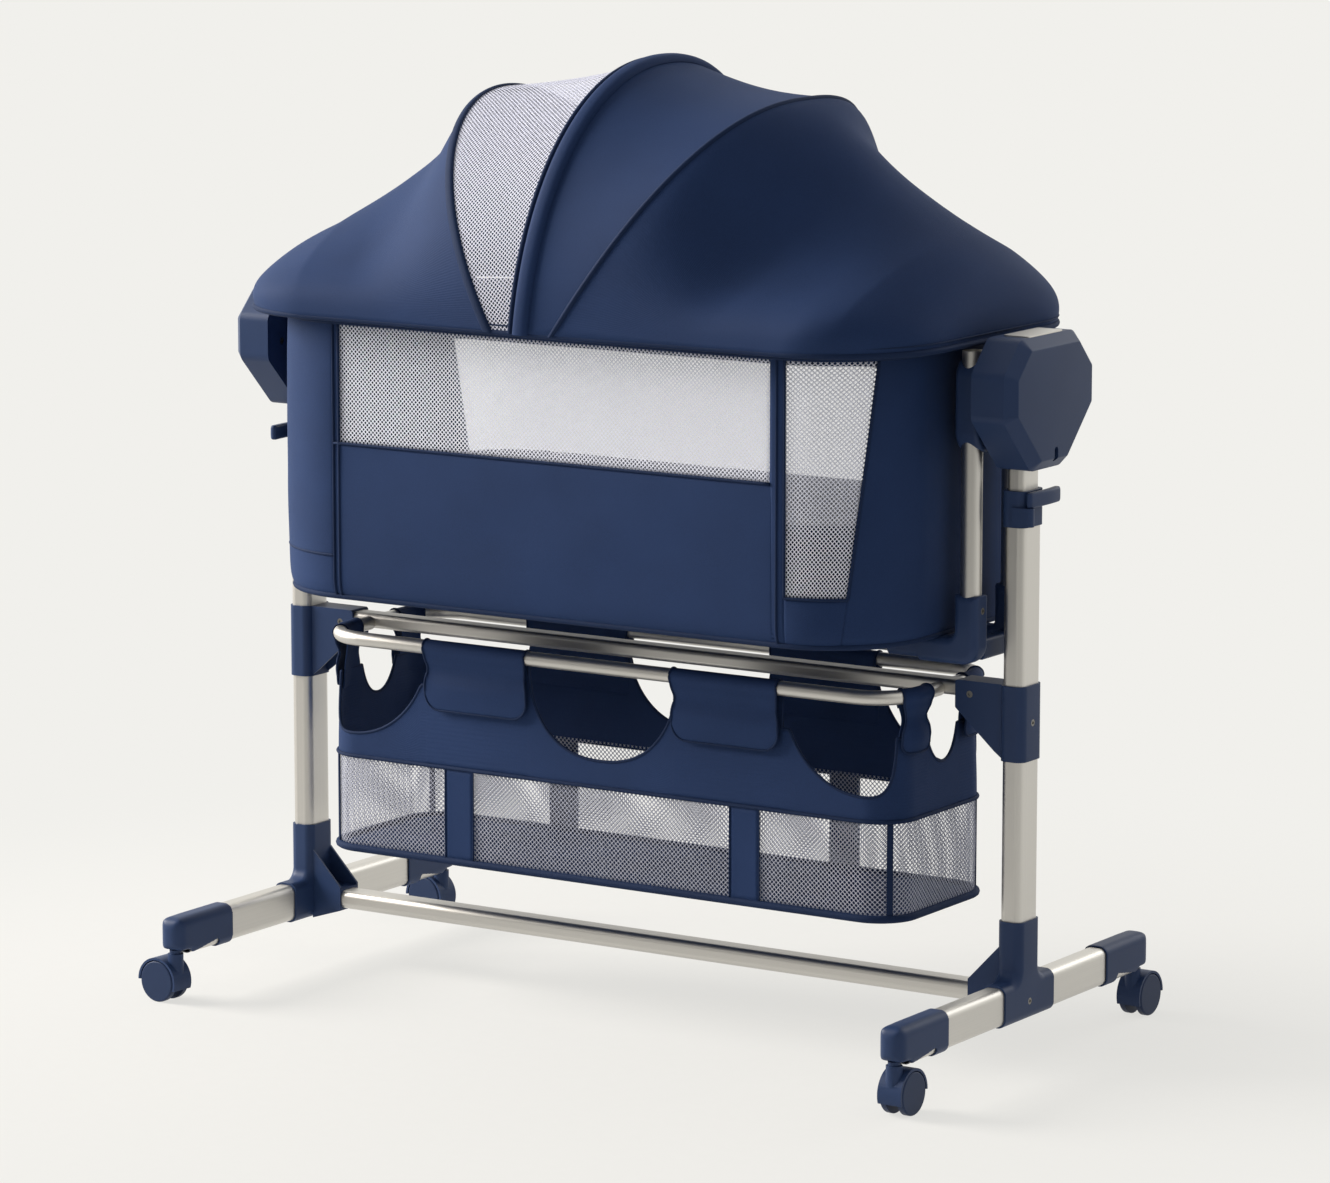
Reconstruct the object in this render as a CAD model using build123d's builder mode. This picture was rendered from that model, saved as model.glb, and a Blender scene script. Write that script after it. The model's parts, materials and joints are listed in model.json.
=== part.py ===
"""Bassinet on a wheeled stand: two telescopic posts carry a rocking cradle with a fabric canopy.

X runs along the cradle, Y across it and Z up. The origin is on the floor, midway between the posts.
All lengths are in millimetres.
"""
import os
from math import cos, pi, sin, sqrt

from build123d import *

os.makedirs("parts", exist_ok=True)

# ---------------------------------------------------------------- clearances
seat_gap = 0.1  # fixed pieces that sit in or on each other
shaft_gap = 0.08  # shafts in their bores
soft_gap = 0.3  # cloth beside its neighbours
bow_gap = 1.8  # bows under the cover, whose panels slope away from them
turn_gap = 0.8  # wheels under their hoods

# ---------------------------------------------------------------- frame tubes
tube_thick = 25.0  # narrow side of posts and feet
tube_deep = 40.0  # wide side of posts and feet
tube_corner = 8.0
tube_wall = 1.2
sleeve_wall = 2.0  # moulded sleeves round the tubes

foot_z = 72.0  # height of the foot tubes' centre line
foot_length = 474.0
stem_room = 13.0  # from the end of a foot tube to its caster stem

# ---------------------------------------------------------------- base joint and crossbar
joint_length = 101.0
joint_top = 155.0
joint_blend = 12.0
joint_corner = 9.5
post_foot_gap = 4.0  # web between the foot tube and the post above it
crossbar_deep = 30.0
crossbar_tall = 20.0
crossbar_corner = 7.0
crossbar_z = 74.0
crossbar_grip = 28.0  # length of crossbar held in each joint
gusset_reach = 35.5
gusset_rise = 128.0
gusset_rib = 2.5

# ---------------------------------------------------------------- telescopic posts
outer_post_top = 600.0
collar_bottom = 565.0
collar_lip = 2.4
inner_thick = 20.0
inner_deep = 35.0
inner_corner = 6.0
inner_wall = 1.5
inner_post_bottom = 390.0
inner_post_top = 750.0
bush_length = 40.0

# ---------------------------------------------------------------- height levers
lever_tall = 16.0
lever_barrel = 3.2  # half the lever's thickness, and the radius of its hinge end
lever_tail = 19.0  # length that stands out past the collar
lever_pin_radius = 1.6
lock_pin_radius = 2.5
lock_pin_travel = 1.2  # room for the lock pin as it swings out of its hole

# ---------------------------------------------------------------- middle rail and brackets
bracket_bottom = 322.5
bracket_top = 401.0
bracket_reach = 54.5  # from the sleeve inwards to the arm's end
bracket_nose = 29.0  # height of the arm's end face
bracket_heel = 8.0
bracket_wall = 2.3
bracket_screw_inset = 17.0
rail_deep = 25.0
rail_tall = 16.0
rail_corner = 5.0
rail_grip = 42.0

# ---------------------------------------------------------------- storage basket
ring_radius = 7.75
ring_length = 720.0
ring_width = 200.0
ring_corner = 50.0
ring_z = 389.0
basket_corner = 40.0
basket_bottom = 154.0
basket_band_bottom = 260.0
cloth_wall = 2.0
mesh_wall = 1.5
flap_centre = 158.0
flap_width = 130.0
flap_sleeve = 2.4
loop_centre = 57.5
loop_width = 41.0
scallop_bottom = 289.0
scallop_round = 60.0
end_scallop_bottom = 310.0
end_post = 10.0  # from the end scallop to the basket's end
basket_piping = 8.0

# ---------------------------------------------------------------- hubs
hub_inner_face = 12.0  # from the post centre inwards
hub_depth = 48.6
hub_wall = 2.5
hub_top = 762.0
hub_shoulder = 728.0
hub_waist = 682.0
hub_bottom = 625.5
hub_half_width = 87.5
hub_top_half = 54.0
hub_bottom_half = 31.5
hub_bevel = 11.0
hub_corner = 14.0
hub_edge = 3.0
hub_recess_y = 3.0
hub_recess_z = 640.5
hub_recess_width = 7.5
hub_recess_tall = 15.0
hub_recess_depth = 7.0
back_plate = 2.0
hub_screw_y = 62.0
pillar_radius = 5.0
top_plate_length = 72.0
top_plate_width = 30.0
top_plate_thick = 2.0
top_plate_sink = 0.8
top_plate_shift = 10.0  # from the post centre outwards

# ---------------------------------------------------------------- pivots
pivot_z = 700.0
shaft_radius = 9.0
shaft_head_radius = 13.0
shaft_head_thick = 4.0
pivot_shaft_root = 10.0  # from the hanger tubes' centre line inwards
bearing_wall = 3.0
bearing_flange = 16.0
bearing_length = 25.0
flange_thick = 2.5

# ---------------------------------------------------------------- cradle frame
hanger_radius = 11.0
hanger_inset = 36.0  # from the post centre inwards
body_room = 15.0  # between the bassinet body and the pivot brackets
hanger_y = 41.5
hanger_top = 746.0
bracket_shell = 3.0
pivot_bracket_top = 740.0
pivot_bracket_bottom = 642.0
pivot_bracket_round = 22.0
pivot_boss_radius = 17.0
elbow_half = 14.0
elbow_top = 496.0
elbow_bottom = 424.0
elbow_leg = 27.0
elbow_reach = 54.0
elbow_insert = 38.0
elbow_insert_trim = 2.5
elbow_round = 20.0
elbow_soft = 8.0
hanger_bottom = 456.0
elbow_screw_z = 480.0
bed_rail_radius = 8.5
bed_rail_grip = 50.0
link_thick = 16.0
link_tall = 22.0

# ---------------------------------------------------------------- bassinet body
body_length = 770.0
body_width = 390.0
body_corner = 110.0
body_wall = 3.0
body_piping = 2.5
rim_radius = 7.0
tab_width = 24.0
tab_thick = 6.0
tab_drop = 8.0
window_left = -270.0
window_right = 268.0
window_bottom = 617.0
window_top = 745.0
window_round = 6.0
corner_window_left = 285.0
corner_window_low_right = 345.0
corner_window_top_right = 369.0
corner_window_bottom = 502.0
board_thick = 8.0
mattress_inset = 8.0
mattress_top = 574.0
mattress_round = 14.0

# ---------------------------------------------------------------- canopy
canopy_overhang = 30.0  # past each end of the bassinet body
canopy_side = 27.0  # past each side of the bassinet body
canopy_corner = 120.0
canopy_bottom = 752.0
canopy_shoulder = 65.0
canopy_shoulder_round = 40.0
canopy_wall = 3.0
seam_rise = 5.0
hem_thick = 3.0
hem_width = 42.0
middle_bulge = 5.0  # the bows push the canopy's sides out
centre_bow_foot = -12.0
bow_foot_step = 37.5  # between the feet of neighbouring bows
left_bow_lean = 135.0
centre_bow_lean = 27.0
right_bow_lean = 165.0
left_bow_rise = 231.0
centre_bow_rise = 266.5
right_bow_rise = 233.5
# how square an arch is: 2 gives an ellipse, more a squarer arch and less a pointed one
left_bow_shape = 1.95
centre_bow_shape = 2.15
right_bow_shape = 2.5
tip_inset = 22.0
# part of the way from the canopy's end to the bow, crest height and shape of each flank section
left_flank = ((0.26, 88.0, 2.0), (0.565, 135.0, 1.5), (0.74, 165.0, 1.65))
right_flank = ((0.267, 112.0, 1.65), (0.578, 162.5, 1.45), (0.755, 194.0, 1.7))
bow_thick = 5.0
bow_depth = 7.0
arch_steps = 12

# ---------------------------------------------------------------- casters
wheel_radius = 22.5
wheel_thick = 7.0
wheel_edge = 2.0
hood_radius = 26.0
hood_web = 13.4  # thickness of the body between the wheels
hood_wrap = 27.6  # width of the cover over the wheels
caster_trail = 16.0
axle_radius = 2.4
boss_radius = 8.5
boss_top = 53.5
stem_radius = 4.5
stem_height = 27.0  # length of stem inside the cap
stem_flange_radius = 6.5
stem_root_z = 40.0
cap_wall = 2.0
cap_length = 96.0
cap_past_stem = 12.0
cap_stem_rise = 8.0  # the cap's underside round the stem, above its bottom
cap_end_rise = 12.0
cap_round = 12.0
cap_notch_start = 24.0
cap_notch_rise = 11.0
hood_front_drop = 20.0  # degrees below the axle that the cover reaches at the front
left_trail_angle = 176.0
right_trail_angle = 89.0

# ---------------------------------------------------------------- screws
screw_head_radius = 3.6
screw_head_thick = 1.6
screw_shank_radius = 1.8
screw_shank_length = 3.4

# ---------------------------------------------------------------- derived places
clasp_radius = hanger_radius + bracket_shell
hanger_x = body_length / 2 + body_room + clasp_radius
post_x = hanger_x + hanger_inset
sleeve_thick = tube_thick + 2 * sleeve_wall
sleeve_deep = tube_deep + 2 * sleeve_wall
sleeve_corner = tube_corner + sleeve_wall
sleeve_inner_x = post_x - sleeve_thick / 2
sleeve_outer_x = post_x + sleeve_thick / 2
joint_bottom = foot_z - sleeve_deep / 2
joint_shoulder = foot_z + sleeve_deep / 2
post_bottom = foot_z + tube_deep / 2 + post_foot_gap
collar_top = outer_post_top + collar_lip
rail_z = bracket_top - sleeve_wall - rail_tall / 2
lever_x = sleeve_outer_x + soft_gap + lever_barrel
lever_pivot_y = lever_barrel - sleeve_deep / 2
lever_end_y = sleeve_deep / 2 + lever_tail
lever_bottom = collar_top - lever_tall
lever_pin_z = lever_bottom + lever_tall / 2
lock_pin_tip = post_x + tube_thick / 2 - tube_wall + 0.2
bearing_radius = shaft_radius + shaft_gap + bearing_wall
hub_x_in = post_x - hub_inner_face
hub_x_out = hub_x_in + hub_depth
leg_z = elbow_bottom + elbow_leg / 2
canopy_length = body_length + 2 * canopy_overhang
canopy_width = body_width + 2 * canopy_side
arch_half_width = canopy_width / 2 + middle_bulge
body_bottom = elbow_bottom + elbow_leg + soft_gap
rim_z = canopy_bottom - soft_gap - rim_radius
cap_stem_z = foot_z - tube_deep / 2 - cap_wall + cap_stem_rise
shaft_start = hanger_x - pivot_shaft_root
head_start = hub_x_in + bearing_length + soft_gap
stem_y = foot_length / 2 + stem_room
cap_bottom = foot_z - tube_deep / 2 - cap_wall


def keep(piece, name):
    """Label a finished sub-part and write it to its own file."""
    piece.part.label = name
    export_step(piece.part, f"parts/{name}.step")


def across(x, z):
    """A plane facing +Y at y = 0, centred on the point x, z; its local y axis runs down."""
    return Plane(origin=(x, 0, z), x_dir=(1, 0, 0), z_dir=(0, 1, 0))


def along(x, y, z):
    """A plane facing +X through the point x, y, z; its local x axis is +Y and its local y axis +Z."""
    return Plane(origin=(x, y, z), x_dir=(0, 1, 0), z_dir=(1, 0, 0))


def turned(piece):
    """The matching sub-part at the left end, turned half round about the vertical."""
    with BuildPart() as left:
        add(piece.part.rotate(Axis.Z, 180))
    return left


def other_end(piece):
    """The matching sub-part at the left end, mirrored across the middle of the cradle."""
    with BuildPart() as left:
        mirror(piece.part, about=Plane.YZ)
    return left


def both_ends(piece):
    """One group with a piece and its mirror image at the left end."""
    with BuildPart() as pair:
        add(piece.part)
        mirror(piece.part, about=Plane.YZ)
    return pair


def rounded_ring(length, width, corner, wall, bottom, top):
    """A rounded rectangular wall, closed all round, open above and below."""
    with BuildPart() as ring:
        with BuildSketch(Plane.XY.offset(bottom)):
            RectangleRounded(length, width, corner)
            RectangleRounded(length - 2 * wall, width - 2 * wall, corner - wall, mode=Mode.SUBTRACT)
        extrude(amount=top - bottom)
    return ring


def bar_loop(length, width, corner, height, radius):
    """A round bar bent into a level loop; it is swept round one half, and mirrored."""
    with BuildPart() as bar:
        with BuildLine() as path:
            FilletPolyline(
                (-length / 2, 0, height),
                (-length / 2, -width / 2, height),
                (length / 2, -width / 2, height),
                (length / 2, 0, height),
                radius=corner,
            )
        with BuildSketch(Plane(origin=path.line @ 0, z_dir=path.line % 0)):
            Circle(radius)
        sweep()
        mirror(about=Plane.XZ)
    return bar.part


def post_core(x, grow, bottom, top):
    """The space that an outer post tube fills between two heights, grown by a clearance."""
    with BuildPart() as core:
        with BuildSketch(Plane.XY.offset(bottom)):
            with Locations((x, 0)):
                RectangleRounded(tube_thick + 2 * grow, tube_deep + 2 * grow, tube_corner + grow)
        extrude(amount=top - bottom)
    return core.part


def pin_hole():
    """The hole through collar and post for the lever's lock pin, with room for its swing."""
    with BuildPart() as hole:
        with BuildSketch(along(post_x + inner_thick / 2 + soft_gap, 0, lever_pin_z)):
            SlotOverall(
                2 * (lock_pin_radius + lock_pin_travel + soft_gap), 2 * (lock_pin_radius + soft_gap), 0
            )
        extrude(amount=sleeve_thick)
    return hole.part


def hub_points(inset):
    """The eight corners of the hub's outline, or of the same outline drawn in by an inset."""
    slope = inset * (sqrt(2) - 1)
    return (
        (hub_top_half - slope, hub_top - inset),
        (hub_half_width - inset, hub_shoulder - slope),
        (hub_half_width - inset, hub_waist + slope),
        (hub_bottom_half - slope, hub_bottom + inset),
        (slope - hub_bottom_half, hub_bottom + inset),
        (inset - hub_half_width, hub_waist + slope),
        (inset - hub_half_width, hub_shoulder - slope),
        (slope - hub_top_half, hub_top - inset),
    )


def wall_cutter(low_left, low_right, top_right, top_left, grow):
    """A block with a four-sided outline in X and Z that reaches from y = 0 out past the front wall."""
    with BuildPart() as cutter:
        with BuildSketch(Plane.XZ):
            with BuildLine():
                FilletPolyline(
                    (low_left[0] - grow, low_left[1] - grow),
                    (low_right[0] + grow, low_right[1] - grow),
                    (top_right[0] + grow, top_right[1] + grow),
                    (top_left[0] - grow, top_left[1] + grow),
                    radius=window_round + grow,
                    close=True,
                )
            make_face()
        extrude(amount=body_width)
    return cutter.part


# Screws: point on the surface, direction that the head faces.
joint_screw = ((sleeve_outer_x, 0, foot_z - 2), (1, 0, 0))
hub_screw_places = (
    ((hub_x_in, hub_screw_y, pivot_z), (-1, 0, 0)),
    ((hub_x_in, -hub_screw_y, pivot_z), (-1, 0, 0)),
)
elbow_screw_places = (
    ((hanger_x + elbow_half, hanger_y, elbow_screw_z), (1, 0, 0)),
    ((hanger_x + elbow_half, -hanger_y, elbow_screw_z), (1, 0, 0)),
)
sleeve_screw = ((sleeve_outer_x, 0, (bracket_bottom + bracket_top) / 2), (1, 0, 0))


def screw_solid(place):
    """A pan-head screw whose head sits in its counterbore, with a shank into the tube."""
    point, direction = place
    plane = Plane(origin=point, z_dir=direction)
    with BuildPart() as screw:
        with BuildSketch(plane.offset(-screw_head_thick)):
            Circle(screw_head_radius)
            RegularPolygon(screw_head_radius / 2, 6, mode=Mode.SUBTRACT)
        extrude(amount=screw_head_thick - seat_gap)
        with BuildSketch(plane.offset(-screw_head_thick)):
            Circle(screw_head_radius)
        extrude(amount=screw_head_thick / 3)
        with BuildSketch(plane.offset(-screw_head_thick)):
            Circle(screw_shank_radius)
        extrude(amount=-screw_shank_length)
    return screw.part


def screw_hole(place):
    """The counterbore and clearance hole for one screw."""
    point, direction = place
    plane = Plane(origin=point, z_dir=direction)
    with BuildPart() as hole:
        with BuildSketch(plane.offset(-screw_head_thick)):
            Circle(screw_head_radius + seat_gap)
        extrude(amount=screw_head_thick + 1)
        with BuildSketch(plane.offset(-screw_head_thick)):
            Circle(screw_shank_radius + seat_gap)
        extrude(amount=-(screw_shank_length + seat_gap))
    return hole.part


# ================================================================ base
with BuildPart() as foot_tube_right:
    with BuildSketch(across(post_x, foot_z)):
        RectangleRounded(tube_thick, tube_deep, tube_corner)
        RectangleRounded(
            tube_thick - 2 * tube_wall, tube_deep - 2 * tube_wall, tube_corner - tube_wall, mode=Mode.SUBTRACT
        )
    extrude(amount=foot_length / 2, both=True)
    add(screw_hole(joint_screw), mode=Mode.SUBTRACT)
keep(foot_tube_right, "foot_tube_right")
keep(other_end(foot_tube_right), "foot_tube_left")

with BuildPart() as crossbar:
    with BuildSketch(along(0, 0, crossbar_z)):
        RectangleRounded(crossbar_deep, crossbar_tall, crossbar_corner)
        RectangleRounded(
            crossbar_deep - 2 * tube_wall,
            crossbar_tall - 2 * tube_wall,
            crossbar_corner - tube_wall,
            mode=Mode.SUBTRACT,
        )
    extrude(amount=sleeve_inner_x - gusset_reach + crossbar_grip, both=True)
keep(crossbar, "crossbar")

# The base joint is one moulding: a block on the foot, a sleeve up the post and a ribbed gusset that
# holds the crossbar.
half_block = joint_length / 2
half_sleeve = sleeve_deep / 2
with BuildPart() as base_joint_right:
    with BuildSketch(along(sleeve_inner_x, 0, 0)):
        with BuildLine():
            Polyline(
                (half_sleeve, joint_shoulder + joint_blend),
                (half_sleeve, joint_top),
                (-half_sleeve, joint_top),
                (-half_sleeve, joint_shoulder + joint_blend),
            )
            RadiusArc(
                (-half_sleeve, joint_shoulder + joint_blend),
                (-half_sleeve - joint_blend, joint_shoulder),
                joint_blend,
            )
            Polyline(
                (-half_sleeve - joint_blend, joint_shoulder),
                (-half_block, joint_shoulder),
                (-half_block, joint_bottom),
                (half_block, joint_bottom),
                (half_block, joint_shoulder),
                (half_sleeve + joint_blend, joint_shoulder),
            )
            RadiusArc(
                (half_sleeve + joint_blend, joint_shoulder),
                (half_sleeve, joint_shoulder + joint_blend),
                joint_blend,
            )
        make_face()
    extrude(amount=sleeve_thick)
    long_edges = [
        edge
        for face in faces().sort_by(Axis.X)[:1] + faces().sort_by(Axis.X)[-1:]
        for edge in face.edges()
        if abs(edge.center().Y) < half_block - 1 and edge.center().Z < joint_top - 1
    ]
    fillet(long_edges, radius=joint_corner)
    gusset_end = sleeve_inner_x - gusset_reach
    socket_top = crossbar_z + crossbar_tall / 2 + sleeve_wall
    socket_bottom = crossbar_z - crossbar_tall / 2 - sleeve_wall
    gusset_half = crossbar_deep / 2 + sleeve_wall
    with BuildSketch(across(0, 0)):
        with BuildLine():
            Polyline(
                (sleeve_inner_x + sleeve_wall, -joint_bottom),
                (gusset_end, -socket_bottom),
                (gusset_end, -socket_top - gusset_rib),
                (sleeve_inner_x + sleeve_wall, -gusset_rise),
                close=True,
            )
        make_face()
    extrude(amount=gusset_half, both=True)
    with BuildSketch(Plane.XY.offset(socket_top)):
        with Locations((sleeve_inner_x - gusset_reach / 2 - 1, 0)):
            Rectangle(gusset_reach + 2, 2 * (gusset_half - gusset_rib))
    extrude(amount=gusset_rise, mode=Mode.SUBTRACT)
    with BuildSketch(along(gusset_end - 1, 0, crossbar_z)):
        RectangleRounded(
            crossbar_deep + 2 * seat_gap, crossbar_tall + 2 * seat_gap, crossbar_corner + seat_gap
        )
    extrude(amount=crossbar_grip + 1 + seat_gap, mode=Mode.SUBTRACT)
    with BuildSketch(across(post_x, foot_z)):
        RectangleRounded(tube_thick + 2 * seat_gap, tube_deep + 2 * seat_gap, tube_corner + seat_gap)
    extrude(amount=joint_length, both=True, mode=Mode.SUBTRACT)
    add(post_core(post_x, seat_gap, post_bottom - seat_gap, joint_top + 1), mode=Mode.SUBTRACT)
    add(screw_hole(joint_screw), mode=Mode.SUBTRACT)
keep(base_joint_right, "base_joint_right")
keep(other_end(base_joint_right), "base_joint_left")

# ---------------------------------------------------------------- end caps of the feet
cap_start = stem_y + cap_past_stem - cap_length
cap_end = stem_y + cap_past_stem
cap_outer_thick = tube_thick + 2 * cap_wall
cap_outer_deep = tube_deep + 2 * cap_wall
cap_top = foot_z + cap_outer_deep / 2
foot_end = foot_length / 2
with BuildPart() as foot_cap:
    with BuildSketch(Plane.YZ):
        with BuildLine() as outline:
            FilletPolyline(
                (cap_start, cap_top),
                (cap_end, cap_top),
                (cap_end, cap_bottom + cap_end_rise),
                (stem_y + stem_flange_radius, cap_stem_z),
                (foot_end + 2, cap_stem_z),
                (foot_end - 1, cap_bottom + 3),
                (cap_start + cap_notch_start, cap_bottom + cap_notch_rise),
                (cap_start + cap_notch_start, cap_bottom),
                (cap_start, cap_bottom),
                radius=[cap_round, 3, 2, 2, 2, 3, 2],
            )
            Line((cap_start, cap_bottom), (cap_start, cap_top))
        make_face()
    extrude(amount=cap_outer_thick / 2, both=True)
    with BuildSketch(Plane.XZ.offset(-cap_start)):
        with Locations((0, foot_z)):
            RectangleRounded(cap_outer_thick, cap_outer_deep, tube_corner + cap_wall)
    extrude(amount=-cap_length, mode=Mode.INTERSECT)
    with BuildSketch(Plane.XY.offset(cap_bottom)):
        with BuildLine():
            FilletPolyline(
                (-cap_outer_thick / 2, cap_start),
                (-cap_outer_thick / 2, cap_end),
                (cap_outer_thick / 2, cap_end),
                (cap_outer_thick / 2, cap_start),
                radius=cap_round,
            )
            Line((cap_outer_thick / 2, cap_start), (-cap_outer_thick / 2, cap_start))
        make_face()
    extrude(amount=cap_outer_deep, mode=Mode.INTERSECT)
    with BuildSketch(Plane.XZ.offset(-cap_start + 1)):
        with Locations((0, foot_z)):
            RectangleRounded(tube_thick + 2 * seat_gap, tube_deep + 2 * seat_gap, tube_corner + seat_gap)
    extrude(amount=-(foot_end - cap_start + 1 + seat_gap), mode=Mode.SUBTRACT)
    with BuildSketch(Plane.XY.offset(cap_bottom - 1)):
        with Locations((0, stem_y)):
            Circle(stem_radius + shaft_gap)
    extrude(amount=cap_stem_rise + stem_height + 2, mode=Mode.SUBTRACT)

with BuildPart() as foot_caps_rear:
    with Locations((post_x, 0, 0), (-post_x, 0, 0)):
        add(foot_cap.part)
keep(foot_caps_rear, "foot_caps_rear")

with BuildPart() as foot_caps_front:
    mirror(foot_caps_rear.part, about=Plane.XZ)
keep(foot_caps_front, "foot_caps_front")

# ================================================================ telescopic posts
with BuildPart() as outer_post_right:
    add(post_core(post_x, 0, post_bottom, outer_post_top))
    add(post_core(post_x, -tube_wall, post_bottom - 1, outer_post_top + 1), mode=Mode.SUBTRACT)
    add(screw_hole(sleeve_screw), mode=Mode.SUBTRACT)
    add(pin_hole(), mode=Mode.SUBTRACT)
keep(outer_post_right, "outer_post_right")
keep(turned(outer_post_right), "outer_post_left")

with BuildPart() as post_collar_right:
    with BuildSketch(Plane.XY.offset(collar_bottom)):
        with Locations((post_x, 0)):
            RectangleRounded(sleeve_thick, sleeve_deep, sleeve_corner)
    extrude(amount=collar_top - collar_bottom)
    # a boss below the lever carries its hinge pin
    with BuildSketch(Plane.XY.offset(collar_bottom + sleeve_wall)):
        with Locations((lever_x, lever_pivot_y)):
            Circle(lever_barrel + sleeve_wall)
        with Locations(((lever_x + post_x) / 2, lever_pivot_y)):
            Rectangle(lever_x - post_x, 2 * (lever_barrel + sleeve_wall))
    extrude(amount=lever_bottom - soft_gap - collar_bottom - sleeve_wall)
    with BuildSketch(Plane.XY.offset(collar_bottom + 2 * sleeve_wall)):
        with Locations((lever_x, lever_pivot_y)):
            Circle(lever_pin_radius + shaft_gap)
    extrude(amount=lever_bottom - collar_bottom, mode=Mode.SUBTRACT)
    with BuildSketch(Plane.XY.offset(lever_bottom - soft_gap)):
        with Locations((lever_x, lever_pivot_y)):
            Circle(lever_barrel + soft_gap)
    extrude(amount=lever_tall + 1, mode=Mode.SUBTRACT)
    add(post_core(post_x, seat_gap, collar_bottom - 1, outer_post_top + seat_gap), mode=Mode.SUBTRACT)
    with BuildSketch(Plane.XY.offset(outer_post_top)):
        with Locations((post_x, 0)):
            RectangleRounded(inner_thick + 2 * soft_gap, inner_deep + 2 * soft_gap, inner_corner + soft_gap)
    extrude(amount=collar_lip + 1, mode=Mode.SUBTRACT)
    add(pin_hole(), mode=Mode.SUBTRACT)
keep(post_collar_right, "post_collar_right")
keep(turned(post_collar_right), "post_collar_left")

with BuildPart() as post_bushes:
    with BuildSketch(Plane.XY.offset(outer_post_top - bush_length)):
        with Locations((post_x, 0), (-post_x, 0)):
            RectangleRounded(
                tube_thick - 2 * tube_wall - 2 * seat_gap,
                tube_deep - 2 * tube_wall - 2 * seat_gap,
                tube_corner - tube_wall - seat_gap,
            )
        with Locations((post_x, 0), (-post_x, 0)):
            RectangleRounded(
                inner_thick + 2 * soft_gap,
                inner_deep + 2 * soft_gap,
                inner_corner + soft_gap,
                mode=Mode.SUBTRACT,
            )
    extrude(amount=bush_length)
keep(post_bushes, "post_bushes")

with BuildPart() as inner_post_right:
    with BuildSketch(Plane.XY.offset(inner_post_bottom)):
        with Locations((post_x, 0)):
            RectangleRounded(inner_thick, inner_deep, inner_corner)
            RectangleRounded(
                inner_thick - 2 * inner_wall,
                inner_deep - 2 * inner_wall,
                inner_corner - inner_wall,
                mode=Mode.SUBTRACT,
            )
    extrude(amount=inner_post_top - inner_post_bottom)
    with BuildSketch(along(hub_x_in - 1, 0, pivot_z)):
        Circle(bearing_radius + seat_gap)
    extrude(amount=hub_depth, mode=Mode.SUBTRACT)
keep(inner_post_right, "inner_post_right")
keep(other_end(inner_post_right), "inner_post_left")

# ---------------------------------------------------------------- height levers
with BuildPart() as height_lever_right:
    with BuildSketch(Plane.XY.offset(lever_bottom)):
        with Locations((lever_x, (lever_pivot_y - lever_barrel + lever_end_y) / 2)):
            SlotOverall(lever_end_y - lever_pivot_y + lever_barrel, 2 * lever_barrel, rotation=90)
    extrude(amount=lever_tall - soft_gap)
    with BuildSketch(Plane.XY.offset(lever_bottom)):
        with Locations((lever_x, lever_pivot_y)):
            Circle(lever_pin_radius)
    extrude(amount=-(lever_bottom - collar_bottom - 2 * sleeve_wall - soft_gap))
    with BuildSketch(along(lever_x, 0, lever_pin_z)):
        Circle(lock_pin_radius)
    extrude(amount=-(lever_x - lock_pin_tip))
keep(height_lever_right, "height_lever_right")
keep(turned(height_lever_right), "height_lever_left")

# ================================================================ middle rail and brackets
arm_end = sleeve_inner_x - bracket_reach
arm_half = rail_deep / 2 + seat_gap + bracket_wall
rail_screw = ((arm_end + bracket_screw_inset, -arm_half, rail_z - 4), (0, -1, 0))
rail_screw_rear = ((arm_end + bracket_screw_inset, arm_half, rail_z - 4), (0, 1, 0))
with BuildPart() as mid_bracket_right:
    with BuildSketch(Plane.XY.offset(bracket_bottom)):
        with Locations((post_x, 0)):
            RectangleRounded(sleeve_thick, sleeve_deep, sleeve_corner)
    extrude(amount=bracket_top - bracket_bottom)
    with BuildSketch(across(0, 0)):
        with BuildLine():
            FilletPolyline(
                (sleeve_inner_x + sleeve_wall, -bracket_top),
                (arm_end, -bracket_top),
                (arm_end, -bracket_top + bracket_nose),
                (sleeve_inner_x - bracket_heel, -bracket_bottom - bracket_heel),
                (sleeve_inner_x, -bracket_bottom - sleeve_wall),
                (sleeve_inner_x + sleeve_wall, -bracket_bottom - sleeve_wall),
                radius=[3, 3, 4, 1],
            )
            Line(
                (sleeve_inner_x + sleeve_wall, -bracket_bottom - sleeve_wall),
                (sleeve_inner_x + sleeve_wall, -bracket_top),
            )
        make_face()
    extrude(amount=arm_half, both=True)
    with BuildSketch(Plane.XY.offset(bracket_top - sleeve_wall + seat_gap)):
        with Locations((sleeve_inner_x - bracket_reach, 0)):
            Rectangle(2 * bracket_reach, rail_deep + 2 * seat_gap)
    extrude(amount=-(bracket_top - bracket_bottom), mode=Mode.SUBTRACT)
    add(post_core(post_x, seat_gap, bracket_bottom - 1, bracket_top + 1), mode=Mode.SUBTRACT)
    for place in (sleeve_screw, rail_screw, rail_screw_rear):
        add(screw_hole(place), mode=Mode.SUBTRACT)
keep(mid_bracket_right, "mid_bracket_right")
keep(other_end(mid_bracket_right), "mid_bracket_left")

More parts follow.
